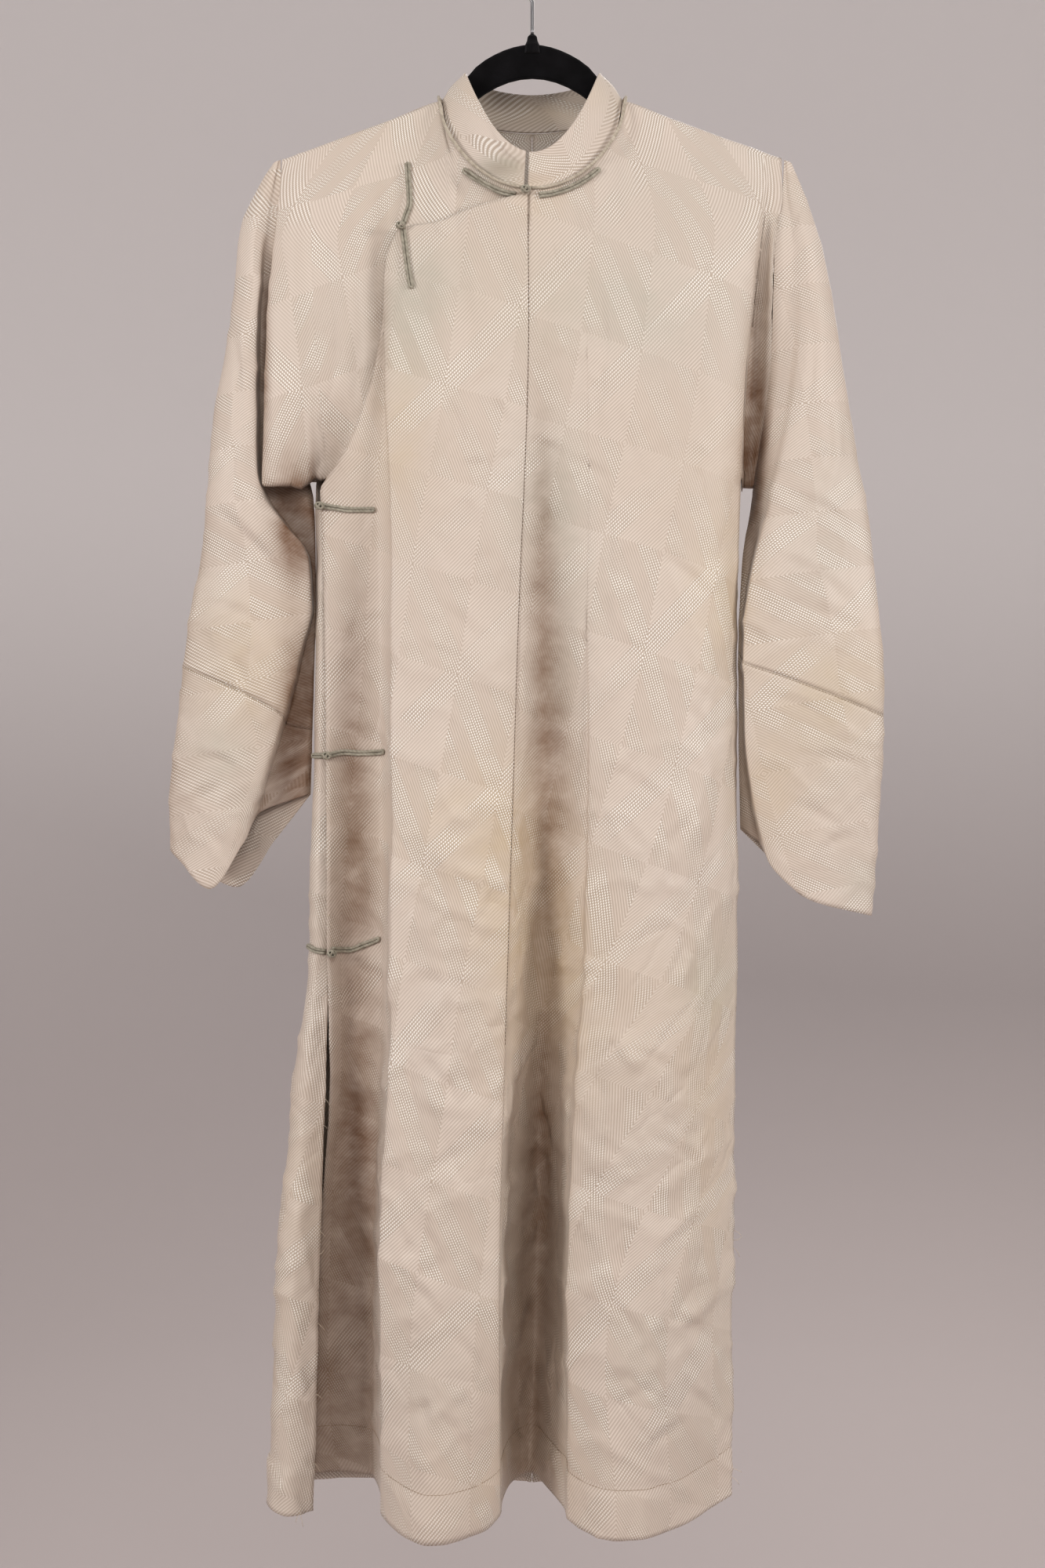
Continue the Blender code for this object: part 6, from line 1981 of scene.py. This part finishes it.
@dataclass
class Frogs:
    """The five frog closures: double cords sewn flat on the panels, and their woven ball knots."""
    body: RobeBody
    cord: Material
    half_width: float = CORD_RADIUS + 0.02
    step: float = 2.5                # between two points of a cord
    bridge: float = 1.6              # how far the collar's right leg stands off over the lap's corner
    turns: int = 3                   # how often a knot's cord goes round its ball,
    bights: int = 4                  # up and down,
    tilt: float = 62.0               # up to so many degrees,
    weave: float = 0.35              # over and under itself
    squash: float = 0.9              # a knot is a little flat front to back
    knot_cord: float = 1.0           # its cord's radius,
    knot_skin: float = 1.15          # which lies this far inside the ball's own
    knot_points: int = 150

    def panels(self) -> dict:
        """The surfaces that the frogs lie on, each with its first and last position and its nodes."""
        centre = place_of(BACK_FOLDS)
        back = fold_lines(BACK_FOLDS[:centre + 1], Face.BACK)
        round_side = [*reversed(back), *fold_lines(STRIP_FOLDS[::-1], Face.FRONT)]
        front = fold_lines(FRONT_FOLDS, Face.FRONT)
        return {
            "front": (surface_of(front), 0.0, len(front) - 1.0, ("front_left", "front_overlap")),
            "overlap": (self.body.lap_surface(), 0.0, 1.0, ("front_overlap",)),
            "yoke": (surface_of(self.body.under_lines()), 0.0, len(UNDER_FOLDS) - 1.0,
                     ("under_front_right",)),
            "strip": (surface_of(round_side), float(centre), len(round_side) - 1.0, ("back_right",)),
        }

    @staticmethod
    def on_panel(panel: tuple, x: float, drop: float, lift: float) -> Vector:
        """The point at x and drop on a panel's shown cloth.

        Args:
            panel: One of the panels.
            x: Where, across.
            drop: Where, down.
            lift: How far to move it out.

        Returns:
            The point.
        """
        surface, first, last, nodes = panel
        place = position_at(surface, x, drop, first, last)
        point = surface(np.array([place]), np.array([float(drop)]))[0]
        ground, normal, _, _ = ClothPiece.nearest(nodes, Vector(point))
        return ground + normal * lift

    @staticmethod
    def hairpin(route: np.ndarray, half_width: float) -> list:
        """A cord laid out along a route and back, side by side.

        Args:
            route: Points (x, drop).
            half_width: From the route to each side.

        Returns:
            Points (x, drop).
        """
        points = [Vector(place) for place in route]
        ahead = [points[min(k + 1, len(points) - 1)] - points[max(k - 1, 0)] for k in range(len(points))]
        sides = [Vector((-way.y, way.x)).normalized() * half_width for way in ahead]
        out = [point + side for point, side in zip(points, sides)]
        back = [point - side for point, side in zip(points, sides)]
        end, side, onward = points[-1], sides[-1], ahead[-1].normalized() * half_width
        bends = [k * math.pi / 6 for k in range(1, 6)]
        turn = [end + side * math.cos(bend) + onward * math.sin(bend) for bend in bends]
        return [*out, *turn, *reversed(back)]

    @staticmethod
    def collar_leg(side: int, start: float) -> tuple:
        """Route of a collar frog's leg, at an even distance below the neckline.

        Args:
            side: -1 for the wearer's right and 1 for the left.
            start: How far from the middle it starts.

        Returns:
            Points (x, drop).
        """
        route = []
        for x in np.linspace(start, COLLAR_LEG_END, 6):
            ahead = Vector((2, neck_drop(x + 1, Face.FRONT) - neck_drop(x - 1, Face.FRONT)))
            away = Vector((-ahead.y, ahead.x)).normalized() * COLLAR_LEG_OFFSET
            route.append((side * (x + away.x), neck_drop(x, Face.FRONT) + away.y))
        return tuple(route)

    def ball(self, name: str, centre: Vector) -> Object:
        """A ball knot: one cord woven over and under itself round a sphere.

        Args:
            name: The piece's name.
            centre: The middle of the sphere.

        Returns:
            The object.
        """
        route = []
        for k in range(self.knot_points + 1):
            t = math.tau * k / self.knot_points
            height = math.sin(self.bights * t) * math.radians(self.tilt)
            away = KNOT_RADIUS - self.knot_skin + self.weave * math.cos(2 * self.bights * t)
            flat = away * math.cos(height)
            x, y = flat * math.cos(self.turns * t), flat * math.sin(self.turns * t) * self.squash
            route.append(centre + Vector((x, y, away * math.sin(height))))
        return round_cord(name, route, self.knot_cord, self.cord, 2)

    def build(self) -> None:
        """Make the legs and the knots."""
        panels = self.panels()
        collar = (Leg("collar_right", "yoke", self.collar_leg(-1, 12)),
                  Leg("collar_left", "front", self.collar_leg(1, 5)))
        for leg in (*FROG_LEGS, *collar):
            route = self.hairpin(smooth_route(leg.route, self.step), self.half_width)
            lift = CORD_RADIUS + leg.lift + self.bridge * (leg.name == "collar_right")
            points = [self.on_panel(panels[leg.panel], place.x, place.y, lift) for place in route]
            tube = round_cord(f"robe_frog_{leg.name}", points, CORD_RADIUS, self.cord)
            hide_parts(f"frog_{leg.name}")
        for ball in KNOTS:
            centre = self.on_panel(panels[ball.panel], ball.x, ball.drop, KNOT_RADIUS + ball.lift)
            knot = self.ball(f"robe_frog_{ball.name}_knot", centre)
            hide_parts(f"frog_{ball.name}_knot")
            LOG.info("frog_%s: closed", ball.name)


@dataclass
class Stitches:
    """Rows of visible hand stitches, each row one mesh of short threads on the shown cloth."""
    thread: Material
    paler: Material
    length: float = 2.1
    spacing: float = 3.0
    width: float = 0.5
    height: float = 0.3
    seam_drops: tuple = (240, 930)   # where the centre seam's stitches show

    def row(self, name: str, route: np.ndarray, nodes: tuple, thread: Material) -> None:
        """Sew along a route.

        Args:
            name: The row's name.
            route: Points in millimetres, close together.
            nodes: The pieces that the thread lies on, first the one that it belongs to.
            thread: Its finish.
        """
        walk = walked(route)
        points, faces = [], []
        for start in np.arange(0.5, walk[-1] - self.length, self.spacing):
            ends = [Vector([np.interp(place, walk, route[:, k]) for k in range(3)])
                    for place in (start, start + self.length)]
            ground = [ClothPiece.nearest(nodes, end) for end in ends]
            normal = ground[0][1]
            way = (ground[1][0] - ground[0][0]).normalized()
            side = normal.cross(way) * self.width / 2
            base = len(points)
            for hit in ground:
                points += [hit[0] + side, hit[0] + normal * self.height, hit[0] - side, hit[0] - normal * 0.2]
            faces += [tuple(base + k for k in corner) for corner in
                      ((0, 1, 5, 4), (1, 2, 6, 5), (2, 3, 7, 6), (3, 0, 4, 7), (3, 2, 1, 0), (4, 5, 6, 7))]
        sewn = mesh_object(name, np.array(points), faces, thread)
        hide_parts(nodes[0])
        LOG.info("%s: %d stitches", name, len(points) // 8)

    def build(self) -> None:
        """Sew the centre-front seam, both sleeve seams and the fronts' hems."""
        lines = fold_lines(FRONT_FOLDS, Face.FRONT)
        centre = place_of(FRONT_FOLDS)
        seam = lines[centre].at(np.linspace(*self.seam_drops, 240))
        self.row("robe_centre_seam_stitches", seam, ("front_left", "front_overlap"), self.thread)
        for sleeve in SLEEVES:
            places = np.linspace(1.5, 8, 160)
            feet = np.stack([line.at(line.foot + 1.0)[0] for line in sleeve_lines(sleeve)])
            route = across(np.repeat(feet[:, None], len(places), axis=1), places)
            side = sleeve.side
            self.row(f"robe_sleeve_seam_stitches_{side}", route, (f"sleeve_end_{side}",), self.paler)
        surface = surface_of(lines)
        for node, first, last in (("front_overlap", 0.0, centre - 0.1),
                                  ("front_left", centre + 0.1, len(lines) - 1.0)):
            places = np.linspace(first, last, 300)
            feet = monotone(range(len(lines)), [line.foot for line in lines], places)
            self.row(f"robe_hem_stitches_{node}", surface(places, feet - HEM_DEPTH), (node,), self.paler)


def frays(thread: Material) -> None:
    """Sew on the loose ends of thread at the worn edges.

    Args:
        thread: Their finish.
    """
    for k, fray in enumerate(FRAYS):
        ground = ClothPiece.nearest((fray.node,), Vector((fray.x, fray.depth, -fray.drop)))[0]
        route = [ground + Vector((fray.run * t, -1.6 * math.sin(math.pi * t), -fray.fall * t * t))
                 for t in np.linspace(0, 1, 8)]
        strand = round_cord(f"robe_fray_{k + 1}", route, FRAY_RADIUS, thread, 1)
        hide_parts(fray.node)
    LOG.info("frays: %d", len(FRAYS))


# Hanger

@dataclass
class Hanger:
    """The flocked hanger body with its boss, and the steel hook."""
    flock: Material
    steel: Material
    wire_radius: float = 1.5
    hook_radius: float = 20.0
    hook_end: float = -35.0          # degrees from level, round the hook's middle
    sweep_height: float = 26.0       # of the bend from the hook's far side back to the stem
    boss_top: float = 78.0

    def build(self) -> None:
        """Dress the body and make the hook."""
        body = bpy.data.objects["hanger_body"]
        body.data.materials.clear()
        body.data.materials.append(self.flock)
        body.data.shade_smooth()
        body.data.set_sharp_from_angle(angle=math.radians(50))
        bend = self.hook_radius + self.wire_radius
        arc = [Vector((bend * math.cos(a), 0, -self.hook_radius + bend * math.sin(a)))
               for a in np.linspace(math.radians(self.hook_end), math.pi, 42)]
        sweep = [Vector((-bend * math.cos(a), 0, -self.hook_radius - self.sweep_height * math.sin(a)))
                 for a in np.linspace(0, math.pi / 2, 18)[1:-1]]
        stem = [Vector((0, 0, -drop)) for drop in (50, 56, 62, 68, 74, self.boss_top - SEAM_GAP)]
        route = [*arc, *sweep, *stem]
        hook = round_cord("hanger_wire_hook", route, self.wire_radius, self.steel, 4)
        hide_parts("hanger_hook")
        LOG.info("hanger: body and hook")


# Camera, light and floor

@dataclass
class Studio:
    """The photograph's view, a pale sweep under and round the robe, and soft light from both sides."""
    camera_place: tuple = (-0.00832, -1.85, -0.714)
    lens: float = 50.0
    sensor: float = 36.0
    aim: tuple = (0, 0, -0.7)
    lamps: tuple = (
        # name, place, size, power
        ("left", (-2.4, -1.9, -0.15), 0.7, 27.0),
        ("right", (2.5, -1.4, 0.0), 0.7, 25.5),
        ("top", (0.1, -2.3, 0.3), 0.9, 11.5),
        ("rear", (0.8, 2.6, 0.9), 1.6, 30.0),
    )
    lamp_colour: str = "#FFFCF8"
    sky_colour: str = "#E6E4E4"
    sky_strength: float = 0.58
    # the floor's colour is painted shade, darker than the rising wall
    floor_colour: str = "#BAB1B0"
    rise_colour: str = "#F2EDEC"
    floor_drop: float = 1.75
    floor_radius: float = 2.3
    curve_radius: float = 3.2
    wall_height: float = 4.2
    sides: int = 96

    def build(self) -> None:
        """Set up the camera, the sweep and the lights."""
        camera = bpy.data.cameras.new("camera")
        camera.lens = self.lens
        camera.sensor_fit = "VERTICAL"
        camera.sensor_height = camera.sensor_width = self.sensor
        holder = linked("camera", camera)
        holder.location = self.camera_place
        holder.rotation_euler = (math.radians(90), 0, 0)
        bpy.context.scene.camera = holder
        self.sweep()
        bpy.context.scene.view_settings.view_transform = "Standard"
        bpy.context.scene.view_settings.look = "Medium High Contrast"
        for name, place, size, power in self.lamps:
            lamp = bpy.data.lights.new(name, "AREA")
            lamp.shape, lamp.size, lamp.energy = "SQUARE", size, power
            lamp.color = linear(self.lamp_colour)[:3]
            light = linked(name, lamp)
            light.location = place
            way = Vector(self.aim) - Vector(place)
            light.rotation_euler = way.to_track_quat("-Z", "Y").to_euler()
        world = bpy.data.worlds.new("studio")
        world.use_nodes = True
        sky = world.node_tree.nodes["Background"]
        fill(world.node_tree, sky, {"Color": linear(self.sky_colour), "Strength": self.sky_strength})
        bpy.context.scene.world = world

    def sweep(self) -> None:
        """A round floor whose edge curves up far behind, with painted shade: darker on the floor than up the
        rising wall.
        """
        material, tree, shader = new_material("painted_sweep", 0.9)
        place = add_node(tree, "TexCoord").outputs["Object"]
        height = add_node(tree, "SeparateXYZ", {0: place}).outputs["Z"]
        # painted shade: darker on the floor, lightening smoothly up the rising wall to 0.4 m above the origin
        rise = add_node(tree, "MapRange", {"Value": height, "From Min": -self.floor_drop, "From Max": 0.4},
                        interpolation_type="SMOOTHSTEP")
        colour = add_node(tree, "Mix", {0: rise, 6: linear(self.floor_colour), 7: linear(self.rise_colour)},
                          data_type="RGBA")
        fill(tree, shader, {"Base Color": colour.outputs[2]})
        sides, reach = self.sides, self.curve_radius
        profile = [(0.01, 0.0), (self.floor_radius, 0.0)]
        profile += [(self.floor_radius + reach * math.sin(a), reach * (1 - math.cos(a)))
                    for a in np.linspace(0.1, math.pi / 2, 16)]
        profile.append((self.floor_radius + reach, self.wall_height))
        points = [(radius * math.cos(math.tau * k / sides), radius * math.sin(math.tau * k / sides),
                   height - self.floor_drop) for radius, height in profile for k in range(sides)]
        faces = [tuple(range(sides - 1, -1, -1))]
        for base in range(0, len(points) - sides, sides):
            for k in range(sides):
                follow = (k + 1) % sides
                faces.append((base + k, base + follow, base + sides + follow, base + sides + k))
        mesh = bpy.data.meshes.new("floor")
        mesh.from_pydata(points, [], faces)
        mesh.shade_smooth()
        mesh.materials.append(material)
        floor = linked("floor", mesh)


def main() -> None:
    """Build the looks in order."""
    logging.basicConfig(level=logging.INFO, format="%(name)s: %(message)s")
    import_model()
    Studio().build()
    silk = SilkDamask().material()
    cord = WrappedCord().material()
    body = RobeBody(silk)
    body.build()
    Sleeves(silk).build()
    Collar(silk, WrappedCord("rolled_silk_piping", "#CBC2B3", "#A69C8C").material()).build()
    Frogs(body, cord).build()
    brown = SewingThread("brown_silk_thread", "#6B5744", "#3F3226").material()
    tan = SewingThread("tan_silk_thread", "#B39F88", "#8F7C66").material()
    Stitches(brown, tan).build()
    frays(SewingThread("frayed_silk", "#E4D9C9", "#C4B5A1").material())
    Hanger(VelvetFlock().material(), DrawnWire().material()).build()


if __name__ == "__main__":
    main()
